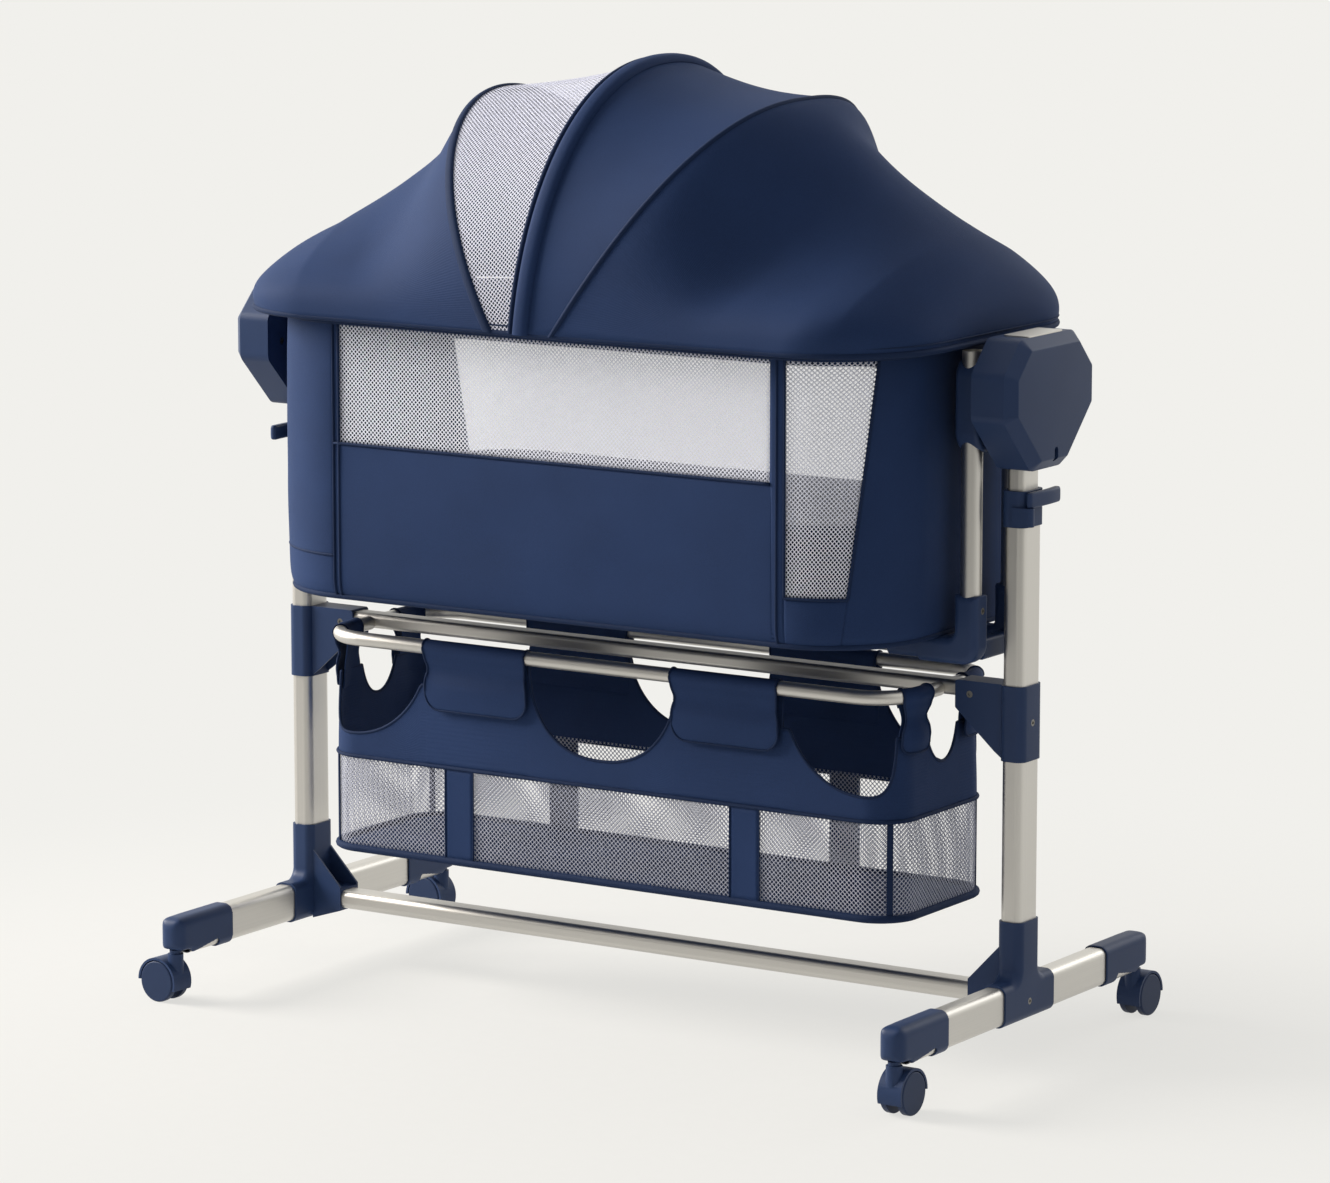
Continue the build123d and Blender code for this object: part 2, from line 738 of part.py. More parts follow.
with BuildPart() as mid_rail:
    with BuildSketch(along(0, 0, rail_z)):
        RectangleRounded(rail_deep, rail_tall, rail_corner)
        RectangleRounded(
            rail_deep - 2 * tube_wall, rail_tall - 2 * tube_wall, rail_corner - tube_wall, mode=Mode.SUBTRACT
        )
    extrude(amount=arm_end + rail_grip, both=True)
    for place in (rail_screw, rail_screw_rear):
        add(screw_hole(place), mode=Mode.SUBTRACT)
        mirror(screw_hole(place), about=Plane.YZ, mode=Mode.SUBTRACT)
keep(mid_rail, "mid_rail")

with BuildPart() as base_screws:
    for place in (joint_screw, sleeve_screw, rail_screw, rail_screw_rear):
        add(screw_solid(place))
        mirror(screw_solid(place), about=Plane.YZ)
keep(base_screws, "base_screws")

# ================================================================ storage basket
ring_x = ring_length / 2
ring_y = ring_width / 2


def ring_bar(radius):
    """The full loop of the basket ring as a solid bar of one radius."""
    return bar_loop(ring_length, ring_width, ring_corner, ring_z, radius)


with BuildPart() as basket_ring:
    add(ring_bar(ring_radius))
    add(ring_bar(ring_radius - tube_wall), mode=Mode.SUBTRACT)
    Box(2 * ring_length, rail_deep + 2 * seat_gap, ring_z * 4, mode=Mode.SUBTRACT)
keep(basket_ring, "basket_ring")

floor_top = basket_bottom + basket_piping
flap_inner = flap_centre - flap_width / 2
flap_outer = flap_centre + flap_width / 2
loop_inner = loop_centre - loop_width / 2
loop_outer = loop_centre + loop_width / 2
sleeve_radius = ring_radius + soft_gap + flap_sleeve


def scallop(plane, half_width, low):
    """A rounded gap in the basket's upper edge, cut through along the plane's normal."""
    with BuildPart() as gap:
        with BuildSketch(plane):
            with BuildLine():
                FilletPolyline(
                    (-half_width, ring_z + 2 * sleeve_radius),
                    (-half_width, low),
                    (half_width, low),
                    (half_width, ring_z + 2 * sleeve_radius),
                    radius=scallop_round * min(1, half_width / scallop_round - 0.01),
                )
                Line((half_width, ring_z + 2 * sleeve_radius), (-half_width, ring_z + 2 * sleeve_radius))
            make_face()
        extrude(amount=ring_length, both=True)
    return gap.part


# the flaps and end loops are sleeves along the ring: the bar is cut away everywhere else
with BuildPart() as ring_sleeves:
    add(ring_bar(sleeve_radius))
    with BuildSketch(Plane.XY.offset(ring_z - 2 * sleeve_radius)):
        Rectangle(2 * ring_length, 4 * ring_width)
        with GridLocations(2 * flap_centre, ring_width, 2, 2):
            Rectangle(flap_width, 4 * sleeve_radius, mode=Mode.SUBTRACT)
        with GridLocations(ring_length, 2 * loop_centre, 2, 2):
            Rectangle(4 * sleeve_radius, loop_width, mode=Mode.SUBTRACT)
    extrude(amount=4 * sleeve_radius, mode=Mode.SUBTRACT)

with BuildPart() as basket_band:
    add(rounded_ring(ring_length, ring_width, basket_corner, cloth_wall, basket_band_bottom, ring_z).part)
    add(ring_sleeves.part)
    add(ring_bar(ring_radius + soft_gap), mode=Mode.SUBTRACT)
    facing = Plane(origin=(0, 0, 0), x_dir=(-1, 0, 0), z_dir=(0, 1, 0))
    add(scallop(facing, flap_inner, scallop_bottom), mode=Mode.SUBTRACT)
    end_scallop_edge = ring_x - end_post
    middle = (flap_outer + end_scallop_edge) / 2
    half = (end_scallop_edge - flap_outer) / 2
    for x in (-middle, middle):
        end_gap = Plane(origin=(x, 0, 0), x_dir=(-1, 0, 0), z_dir=(0, 1, 0))
        add(scallop(end_gap, half, scallop_bottom), mode=Mode.SUBTRACT)
    add(scallop(Plane.YZ, loop_inner, end_scallop_bottom), mode=Mode.SUBTRACT)
keep(basket_band, "basket_band")

with BuildPart() as basket_mesh:
    add(
        rounded_ring(
            ring_length, ring_width, basket_corner, mesh_wall, floor_top + seat_gap, basket_band_bottom - seat_gap
        ).part
    )
keep(basket_mesh, "basket_mesh")

with BuildPart() as basket_floor:
    with BuildSketch(Plane.XY.offset(basket_bottom)):
        RectangleRounded(ring_length, ring_width, basket_corner)
    extrude(amount=basket_piping)
    fillet(faces().sort_by(Axis.Z)[0].edges() + faces().sort_by(Axis.Z)[-1].edges(), radius=basket_piping * 0.45)
keep(basket_floor, "basket_floor")

# ================================================================ hubs
with BuildPart() as hub_form:
    with BuildSketch(along(hub_x_in, 0, 0)):
        Polygon(*hub_points(0), align=None)
    extrude(amount=hub_depth)
    fillet(edges().filter_by(Axis.X), radius=hub_corner)
    chamfer(faces().sort_by(Axis.X)[-1].edges(), length=hub_bevel)
    fillet(faces().sort_by(Axis.X)[-1].edges(), radius=hub_edge)

with BuildPart() as hub_hollow:
    with BuildSketch(along(hub_x_in - 1, 0, 0)):
        Polygon(*hub_points(hub_wall), align=None)
    extrude(amount=hub_depth + 1 - hub_wall)
    fillet(edges().filter_by(Axis.X), radius=hub_corner - hub_wall)
    chamfer(faces().sort_by(Axis.X)[-1].edges(), length=hub_bevel - hub_wall / 2)

# a block behind a recess low in the outer face carries the screw that fixes the cover
recess_floor = hub_x_out - hub_recess_depth
hub_cover_screw = ((recess_floor, hub_recess_y, hub_recess_z), (1, 0, 0))
with BuildPart() as recess_block:
    with BuildSketch(along(recess_floor - screw_head_thick - screw_shank_length - seat_gap, 0, 0)):
        with Locations((hub_recess_y, hub_recess_z)):
            RectangleRounded(hub_recess_width + 2 * hub_wall, hub_recess_tall + 2 * hub_wall, hub_wall)
    extrude(amount=hub_depth)
    add(hub_form.part, mode=Mode.INTERSECT)

with BuildPart() as hub_housing_right:
    add(hub_form.part)
    add(hub_hollow.part, mode=Mode.SUBTRACT)
    with BuildSketch(Plane.XY.offset(hub_bottom - 1)):
        with Locations((post_x, 0)):
            RectangleRounded(inner_thick + 2 * seat_gap, inner_deep + 2 * seat_gap, inner_corner + seat_gap)
    extrude(amount=hub_top - hub_bottom - hub_wall, mode=Mode.SUBTRACT)
    with BuildSketch(Plane.XY.offset(hub_top + 1)):
        with Locations((post_x + top_plate_shift, 0)):
            RectangleRounded(top_plate_width + 2 * seat_gap, top_plate_length + 2 * seat_gap, 4)
    extrude(amount=-1 - top_plate_sink, mode=Mode.SUBTRACT)
    # pillars for the screws of the back plate
    with BuildSketch(along(hub_x_in + back_plate, 0, pivot_z)):
        with Locations((hub_screw_y, 0), (-hub_screw_y, 0)):
            Circle(pillar_radius)
            Circle(screw_shank_radius + seat_gap, mode=Mode.SUBTRACT)
    extrude(amount=hub_depth - back_plate - hub_wall / 2)
    add(recess_block.part)
    with BuildSketch(along(recess_floor, 0, 0)):
        with Locations((hub_recess_y, hub_recess_z)):
            RectangleRounded(hub_recess_width, hub_recess_tall, hub_recess_width / 2 - seat_gap)
    extrude(amount=hub_depth, mode=Mode.SUBTRACT)
    add(screw_hole(hub_cover_screw), mode=Mode.SUBTRACT)
keep(hub_housing_right, "hub_housing_right")
keep(other_end(hub_housing_right), "hub_housing_left")

with BuildPart() as hub_back_right:
    with BuildSketch(along(hub_x_in, 0, 0)):
        Polygon(*hub_points(hub_wall + seat_gap), align=None)
    extrude(amount=back_plate - seat_gap)
    fillet(edges().filter_by(Axis.X), radius=hub_corner - hub_wall - seat_gap)
    with BuildSketch(along(hub_x_in, 0, pivot_z)):
        Circle(bearing_radius + seat_gap)
    extrude(amount=back_plate, mode=Mode.SUBTRACT)
    for place in hub_screw_places:
        add(screw_hole(place), mode=Mode.SUBTRACT)
keep(both_ends(hub_back_right), "hub_backs")

with BuildPart() as hub_top_plate:
    with BuildSketch(Plane.XY.offset(hub_top - top_plate_sink + seat_gap)):
        with Locations((post_x + top_plate_shift, 0)):
            RectangleRounded(top_plate_width, top_plate_length, 4 - seat_gap)
    extrude(amount=top_plate_thick)
keep(both_ends(hub_top_plate), "hub_top_plates")

with BuildPart() as hub_bearing:
    with BuildSketch(along(hub_x_in - flange_thick - seat_gap, 0, pivot_z)):
        Circle(bearing_flange)
    extrude(amount=flange_thick)
    with BuildSketch(along(hub_x_in - seat_gap - 1, 0, pivot_z)):
        Circle(bearing_radius)
    extrude(amount=bearing_length + 1)
    with BuildSketch(along(hub_x_in - flange_thick - 1, 0, pivot_z)):
        Circle(shaft_radius + shaft_gap)
    extrude(amount=2 * bearing_length, mode=Mode.SUBTRACT)
keep(both_ends(hub_bearing), "hub_bearings")

with BuildPart() as hub_screws:
    for place in (*hub_screw_places, hub_cover_screw):
        add(screw_solid(place))
        mirror(screw_solid(place), about=Plane.YZ)
keep(hub_screws, "hub_screws")

# ================================================================ cradle frame
boss_end = hub_x_in - flange_thick - soft_gap - seat_gap
with BuildPart() as pivot_shaft:
    with BuildSketch(along(shaft_start, 0, pivot_z)):
        Circle(shaft_radius)
    extrude(amount=head_start - shaft_start)
    with BuildSketch(along(head_start, 0, pivot_z)):
        Circle(shaft_head_radius)
    extrude(amount=shaft_head_thick)
    fillet(faces().sort_by(Axis.X)[-1].edges(), radius=1.5)
keep(both_ends(pivot_shaft), "pivot_shafts")

with BuildPart() as pivot_bracket_right:
    with BuildSketch(along(hanger_x - clasp_radius, 0, (pivot_bracket_top + pivot_bracket_bottom) / 2)):
        RectangleRounded(
            2 * (hanger_y + clasp_radius), pivot_bracket_top - pivot_bracket_bottom, pivot_bracket_round
        )
    extrude(amount=2 * clasp_radius)
    fillet(faces().sort_by(Axis.X)[0].edges() + faces().sort_by(Axis.X)[-1].edges(), radius=5)
    with BuildSketch(along(hanger_x, 0, pivot_z)):
        Circle(pivot_boss_radius)
    extrude(amount=boss_end - hanger_x)
    with BuildSketch(Plane.XY.offset(pivot_bracket_bottom - 1)):
        with Locations((hanger_x, hanger_y), (hanger_x, -hanger_y)):
            Circle(hanger_radius + seat_gap)
    extrude(amount=pivot_bracket_top, mode=Mode.SUBTRACT)
    with BuildSketch(along(shaft_start - seat_gap, 0, pivot_z)):
        Circle(shaft_radius + seat_gap)
    extrude(amount=hub_depth, mode=Mode.SUBTRACT)
keep(pivot_bracket_right, "pivot_bracket_right")
keep(other_end(pivot_bracket_right), "pivot_bracket_left")

with BuildPart() as hanger_tubes_right:
    with BuildSketch(Plane.XY.offset(hanger_bottom)):
        with Locations((hanger_x, hanger_y), (hanger_x, -hanger_y)):
            Circle(hanger_radius)
            Circle(hanger_radius - tube_wall, mode=Mode.SUBTRACT)
    extrude(amount=hanger_top - hanger_bottom)
    for place in elbow_screw_places:
        add(screw_hole(place), mode=Mode.SUBTRACT)
keep(hanger_tubes_right, "hanger_tubes_right")
keep(other_end(hanger_tubes_right), "hanger_tubes_left")

elbow_end = hanger_x - elbow_reach
with BuildPart() as elbow:
    with BuildSketch(across(0, 0)):
        with BuildLine():
            FilletPolyline(
                (elbow_end, -elbow_bottom),
                (hanger_x + elbow_half, -elbow_bottom),
                (hanger_x + elbow_half, -elbow_top),
                (hanger_x - elbow_half, -elbow_top),
                (hanger_x - elbow_half, -elbow_bottom - elbow_leg),
                (elbow_end, -elbow_bottom - elbow_leg),
                radius=[elbow_round, 1, 1, 8],
            )
            Line((elbow_end, -elbow_bottom - elbow_leg), (elbow_end, -elbow_bottom))
        make_face()
    extrude(amount=elbow_half, both=True)
    side_edges = faces().sort_by(Axis.Y)[0].edges() + faces().sort_by(Axis.Y)[-1].edges()
    kept_edges = [
        edge for edge in side_edges if edge.center().Z < elbow_top - 3 and edge.center().X > elbow_end + 1
    ]
    fillet(kept_edges, radius=elbow_soft)
    with BuildSketch(along(elbow_end + 1, 0, leg_z)):
        RectangleRounded(2 * (elbow_half - elbow_insert_trim), elbow_leg - 2 * elbow_insert_trim, 8)
    extrude(amount=-elbow_insert - 1)
    with BuildSketch(Plane.XY.offset(hanger_bottom - seat_gap)):
        with Locations((hanger_x, 0)):
            Circle(hanger_radius + seat_gap)
    extrude(amount=hanger_top, mode=Mode.SUBTRACT)
    with BuildSketch(along(elbow_end - elbow_insert - 1, 0, leg_z)):
        Circle(bed_rail_radius + seat_gap)
    extrude(amount=bed_rail_grip + 1 + seat_gap, mode=Mode.SUBTRACT)

with BuildPart() as hanger_elbows_right:
    with Locations((0, hanger_y, 0), (0, -hanger_y, 0)):
        add(elbow.part)
    for place in elbow_screw_places:
        add(screw_hole(place), mode=Mode.SUBTRACT)
keep(hanger_elbows_right, "hanger_elbows_right")
keep(other_end(hanger_elbows_right), "hanger_elbows_left")

with BuildPart() as bed_rails:
    with BuildSketch(along(0, 0, leg_z)):
        with Locations((hanger_y, 0), (-hanger_y, 0)):
            Circle(bed_rail_radius)
            Circle(bed_rail_radius - tube_wall, mode=Mode.SUBTRACT)
    extrude(amount=elbow_end - elbow_insert + bed_rail_grip, both=True)
keep(bed_rails, "bed_rails")

with BuildPart() as elbow_link:
    with BuildSketch(Plane.XZ.offset(-hanger_y + elbow_half + seat_gap)):
        with Locations((hanger_x, leg_z)):
            RectangleRounded(link_thick, link_tall, 4)
    extrude(amount=2 * (hanger_y - elbow_half - seat_gap))
keep(both_ends(elbow_link), "elbow_links")

with BuildPart() as cradle_screws:
    for place in elbow_screw_places:
        add(screw_solid(place))
        mirror(screw_solid(place), about=Plane.YZ)
keep(cradle_screws, "cradle_screws")

# ================================================================ bassinet body
body_top = canopy_bottom - seat_gap
rim_inset = body_wall + soft_gap + rim_radius
tab_end = hanger_x - clasp_radius - seat_gap


def loop_bar(radius):
    """The cradle's top rim as a solid bar of one radius."""
    return bar_loop(
        body_length - 2 * rim_inset, body_width - 2 * rim_inset, body_corner - rim_inset, rim_z, radius
    )


with BuildPart() as rim_frame:
    add(loop_bar(rim_radius))
    add(loop_bar(rim_radius - tube_wall), mode=Mode.SUBTRACT)
    tab_start = body_length / 2 - rim_inset + rim_radius - tube_wall / 2
    for side in (-1, 1):
        with Locations((side * (tab_start + tab_end) / 2, 0, rim_z - tab_drop)):
            Box(tab_end - tab_start, tab_width, tab_thick)
keep(rim_frame, "rim_frame")


def front_window(grow):
    """The long window in the front wall, as a cutter from y = 0 outwards."""
    return wall_cutter(
        (window_left, window_bottom),
        (window_right, window_bottom),
        (window_right, window_top),
        (window_left, window_top),
        grow,
    )


def corner_window(grow):
    """The tall window that wraps the right-hand front corner, with its slanted outer edge."""
    return wall_cutter(
        (corner_window_left, corner_window_bottom),
        (corner_window_low_right, corner_window_bottom),
        (corner_window_top_right, window_top),
        (corner_window_left, window_top),
        grow,
    )


with BuildPart() as bassinet_shell:
    with BuildSketch(Plane.XY.offset(body_bottom)):
        RectangleRounded(body_length, body_width, body_corner)
    extrude(amount=body_top - body_bottom)
    fillet(faces().sort_by(Axis.Z)[0].edges(), radius=body_piping)
    with BuildSketch(Plane.XY.offset(body_bottom + body_wall)):
        RectangleRounded(body_length - 2 * body_wall, body_width - 2 * body_wall, body_corner - body_wall)
    extrude(amount=body_top, mode=Mode.SUBTRACT)
    for cutter in (front_window(0), corner_window(0)):
        add(cutter, mode=Mode.SUBTRACT)
        add(cutter.rotate(Axis.Z, 180), mode=Mode.SUBTRACT)
    with Locations((0, 0, rim_z - tab_drop)):
        Box(2 * body_length, tab_width + 2 * soft_gap, tab_thick + 2 * soft_gap, mode=Mode.SUBTRACT)
keep(bassinet_shell, "bassinet_shell")

mesh_inset = (body_wall - mesh_wall) / 2
with BuildPart() as bassinet_mesh:
    for cutter in (front_window(-seat_gap), corner_window(-seat_gap)):
        add(cutter)
        add(cutter.rotate(Axis.Z, 180))
    add(
        rounded_ring(
            body_length - 2 * mesh_inset,
            body_width - 2 * mesh_inset,
            body_corner - mesh_inset,
            mesh_wall,
            body_bottom,
            body_top,
        ).part,
        mode=Mode.INTERSECT,
    )
keep(bassinet_mesh, "bassinet_mesh")

board_bottom = body_bottom + body_wall + soft_gap
with BuildPart() as mattress_board:
    with BuildSketch(Plane.XY.offset(board_bottom)):
        RectangleRounded(
            body_length - 2 * body_wall - 2 * mattress_inset,
            body_width - 2 * body_wall - 2 * mattress_inset,
            body_corner - body_wall - mattress_inset,
        )
    extrude(amount=board_thick)
keep(mattress_board, "mattress_board")

with BuildPart() as mattress:
    with BuildSketch(Plane.XY.offset(board_bottom + board_thick + soft_gap)):
        RectangleRounded(
            body_length - 2 * body_wall - 2 * mattress_inset,
            body_width - 2 * body_wall - 2 * mattress_inset,
            body_corner - body_wall - mattress_inset,
        )
    extrude(amount=mattress_top - board_bottom - board_thick - soft_gap)
    fillet(faces().sort_by(Axis.Z)[0].edges() + faces().sort_by(Axis.Z)[-1].edges(), radius=mattress_round)
keep(mattress, "mattress")

# ================================================================ canopy


def arch_points(foot_x, top_x, rise, half_width, squareness, inset, start):
    """Points of a leaning arch: a superellipse in a plane that tilts from its feet to its crest.

    abs(y / w) ** n + abs(h / rise) ** n = 1, with every point kept `inset` inside the cover.
    """
    lean = (top_x - foot_x) / rise
    points = []
    for step in range(arch_steps + 1):
        turn = pi * step / arch_steps
        y = -(half_width - inset) * abs(cos(turn)) ** (2 / squareness) * (1 if cos(turn) > 0 else -1)
        h = (rise - inset - start) * abs(sin(turn)) ** (2 / squareness) + start
        points.append((foot_x + lean * h, y, canopy_bottom + h))
    return points


def arch_face(foot_x, top_x, rise, half_width, squareness, inset):
    """The closed section of the dome under one arch."""
    points = arch_points(foot_x, top_x, rise, half_width, squareness, inset, 0)
    with BuildLine() as wire:
        Spline(*points)
        Line(points[-1], points[0])
    return Face(Wire(wire.edges()))


def corner_half_width(x):
    """Half the canopy's width at x, where its plan corners are rounded."""
    reach = max(0, abs(x) - (canopy_length / 2 - canopy_corner))
    return canopy_width / 2 - canopy_corner + sqrt(canopy_corner**2 - reach**2)


left_foot = centre_bow_foot - bow_foot_step
right_foot = centre_bow_foot + bow_foot_step
left_bow = (left_foot, left_foot - left_bow_lean, left_bow_rise, arch_half_width, left_bow_shape)
centre_bow = (
    centre_bow_foot,
    centre_bow_foot + centre_bow_lean,
    centre_bow_rise,
    arch_half_width,
    centre_bow_shape,
)
right_bow = (right_foot, right_foot + right_bow_lean, right_bow_rise, arch_half_width, right_bow_shape)


def flank_arch(side, part, rise, shape, bow_arch):
    """A section of the canopy's flank, part of the way from the canopy's end to a bow."""
    foot_x, top_x = bow_arch[0], bow_arch[1]
    end_x = side * canopy_length / 2
    foot = end_x + part * (foot_x - end_x)
    top = end_x + part * (top_x - end_x)
    return (foot, top, rise, corner_half_width(foot), shape)


def tip_arch(side, inset):
    """The upright section at one tip, drawn in for the hollow."""
    tip_x = canopy_length / 2 - tip_inset - inset
    return (side * tip_x, side * tip_x, canopy_shoulder, corner_half_width(tip_x) - canopy_wall, 2)


def all_arches(inset):
    """The arches from the left tip to the right."""
    return (
        tip_arch(-1, inset),
        *(flank_arch(-1, part, rise, shape, left_bow) for part, rise, shape in left_flank),
        left_bow,
        centre_bow,
        right_bow,
        *(flank_arch(1, part, rise, shape, right_bow) for part, rise, shape in reversed(right_flank)),
        tip_arch(1, inset),
    )


def cover_form(inset):
    """The outer form of the canopy, or with an inset the hollow inside it."""
    with BuildPart() as form:
        with BuildSketch(Plane.XY.offset(canopy_bottom)):
            RectangleRounded(canopy_length - 2 * inset, canopy_width - 2 * inset, canopy_corner - inset)
        extrude(amount=canopy_shoulder - inset)
        fillet(faces().sort_by(Axis.Z)[-1].edges(), radius=canopy_shoulder_round - inset)
        loft(sections=[arch_face(*arch, inset) for arch in all_arches(inset)], ruled=True)
    return form.part


with BuildPart() as mesh_wedge:
    with BuildSketch(across(0, 0)):
        with BuildLine():
            reach = 2 * centre_bow_rise
            Polyline(
                (left_foot, -canopy_bottom - hem_thick - seam_rise),
                (left_foot - left_bow_lean * reach / left_bow_rise, -canopy_bottom - reach),
                (centre_bow_foot + centre_bow_lean * reach / centre_bow_rise, -canopy_bottom - reach),
                (centre_bow_foot, -canopy_bottom - hem_thick - seam_rise),
                close=True,
            )
        make_face()
    extrude(amount=canopy_width, both=True)

with BuildPart() as canopy_skin:
    add(cover_form(0))
    add(cover_form(canopy_wall), mode=Mode.SUBTRACT)

with BuildPart() as canopy_cover:
    add(canopy_skin.part)
    add(mesh_wedge.part, mode=Mode.SUBTRACT)
    add(
        rounded_ring(
            canopy_length - canopy_wall,
            canopy_width - canopy_wall,
            canopy_corner - canopy_wall / 2,
            hem_width,
            canopy_bottom,
            canopy_bottom + hem_thick,
        ).part
    )
keep(canopy_cover, "canopy_cover")

with BuildPart() as canopy_mesh:
    add(canopy_skin.part)
    add(mesh_wedge.part, mode=Mode.INTERSECT)
keep(canopy_mesh, "canopy_mesh")


def bow(arch):
    """A flat spring-steel bow that follows its arch just inside the cover."""
    foot_x, top_x, rise, half_width, squareness = arch
    inset = canopy_wall + bow_gap + bow_depth / 2
    points = arch_points(foot_x, top_x, rise, half_width, squareness, inset, hem_thick + bow_gap)
    with BuildPart() as strip:
        with BuildLine() as path:
            Spline(*points)
        with BuildSketch(Plane(origin=path.line @ 0, x_dir=(1, 0, 0), z_dir=path.line % 0)):
            RectangleRounded(bow_thick, bow_depth, 2)
        sweep()
    return strip


keep(bow(left_bow), "canopy_bow_left")
keep(bow(centre_bow), "canopy_bow_centre")
keep(bow(right_bow), "canopy_bow_right")

# ================================================================ casters
wheel_inner = hood_web / 2 + turn_gap
with BuildPart() as hood:
    with BuildSketch(Plane.XZ.offset(-hood_wrap / 2)):
        with Locations((-caster_trail, wheel_radius)):
            Circle(hood_radius)
    extrude(amount=hood_wrap)
    with BuildSketch(Plane.XZ.offset(-hood_wrap / 2)):
        with BuildLine():
            drop = (hood_radius + caster_trail) * sin(hood_front_drop * pi / 180)
            Polyline(
                (-caster_trail, wheel_radius),
                (-caster_trail + hood_radius + caster_trail, wheel_radius - drop),
                (-caster_trail + hood_radius + caster_trail, -hood_radius),
                (-caster_trail - 2 * hood_radius, -hood_radius),
                (-caster_trail - 2 * hood_radius, wheel_radius),
                close=True,
            )
        make_face()
    extrude(amount=hood_wrap, mode=Mode.SUBTRACT)
    with BuildSketch(Plane.XZ.offset(-hood_wrap)):
        with Locations((-caster_trail, wheel_radius)):
            Circle(wheel_radius + turn_gap)
    extrude(amount=hood_wrap - wheel_inner + turn_gap, mode=Mode.SUBTRACT)
    with BuildSketch(Plane.XZ.offset(hood_wrap)):
        with Locations((-caster_trail, wheel_radius)):
            Circle(wheel_radius + turn_gap)
    extrude(amount=-(hood_wrap - wheel_inner + turn_gap), mode=Mode.SUBTRACT)
    # the body between the wheels reaches below the axle
    with BuildSketch(Plane.XZ.offset(-hood_web / 2)):
        with Locations((-caster_trail, wheel_radius)):
            Circle(hood_radius * 0.55)
    extrude(amount=hood_web)
    with BuildSketch(Plane.XY.offset(wheel_radius)):
        Circle(boss_radius)
    extrude(amount=boss_top - wheel_radius)
    for start, length in ((wheel_inner - turn_gap, hood_wrap), (-wheel_inner + turn_gap, -hood_wrap)):
        with BuildSketch(Plane.XZ.offset(-start)):
            with Locations((-caster_trail, wheel_radius)):
                Circle(wheel_radius + turn_gap)
        extrude(amount=-length, mode=Mode.SUBTRACT)
    with BuildSketch(Plane.XZ.offset(-hood_web)):
        with Locations((-caster_trail, wheel_radius)):
            Circle(axle_radius + shaft_gap)
    extrude(amount=2 * hood_web, mode=Mode.SUBTRACT)
    with BuildSketch(Plane.XY.offset(stem_root_z)):
        Circle(stem_radius + seat_gap)
    extrude(amount=boss_top, mode=Mode.SUBTRACT)

with BuildPart() as stem:
    with BuildSketch(Plane.XY.offset(stem_root_z + seat_gap)):
        Circle(stem_radius)
    extrude(amount=cap_stem_z + stem_height - stem_root_z - seat_gap)
    with BuildSketch(Plane.XY.offset(boss_top + seat_gap)):
        Circle(stem_flange_radius)
    extrude(amount=cap_stem_z - boss_top - soft_gap - seat_gap)

with BuildPart() as wheel_pair:
    with BuildSketch(Plane.XZ.offset(hood_web / 2 + turn_gap / 2)):
        with Locations((-caster_trail, wheel_radius)):
            Circle(wheel_radius)
    extrude(amount=wheel_thick)
    with BuildSketch(Plane.XZ.offset(-hood_web / 2 - turn_gap / 2)):
        with Locations((-caster_trail, wheel_radius)):
            Circle(wheel_radius)
    extrude(amount=-wheel_thick)
    fillet(faces().sort_by(Axis.Y)[0].edges() + faces().sort_by(Axis.Y)[-1].edges(), radius=wheel_edge)
    with BuildSketch(Plane.XZ.offset(-hood_web)):
        with Locations((-caster_trail, wheel_radius)):
            Circle(axle_radius)
    extrude(amount=2 * hood_web)

corners = {
    "front_left": (-post_x, -stem_y, left_trail_angle),
    "front_right": (post_x, -stem_y, right_trail_angle),
    "rear_left": (-post_x, stem_y, left_trail_angle),
    "rear_right": (post_x, stem_y, right_trail_angle),
}
for corner, (x, y, trail_angle) in corners.items():
    with BuildPart() as caster_hood:
        with Locations(Location((x, y, 0), (0, 0, trail_angle - 180))):
            add(hood.part)
            add(stem.part)
    keep(caster_hood, f"caster_hood_{corner}")
    with BuildPart() as caster_wheels:
        with Locations(Location((x, y, 0), (0, 0, trail_angle - 180))):
            add(wheel_pair.part)
    keep(caster_wheels, f"caster_wheels_{corner}")
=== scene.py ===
"""A fabric bassinet with a domed canopy, hung between two posts on a wheeled stand."""
import json
from contextlib import contextmanager

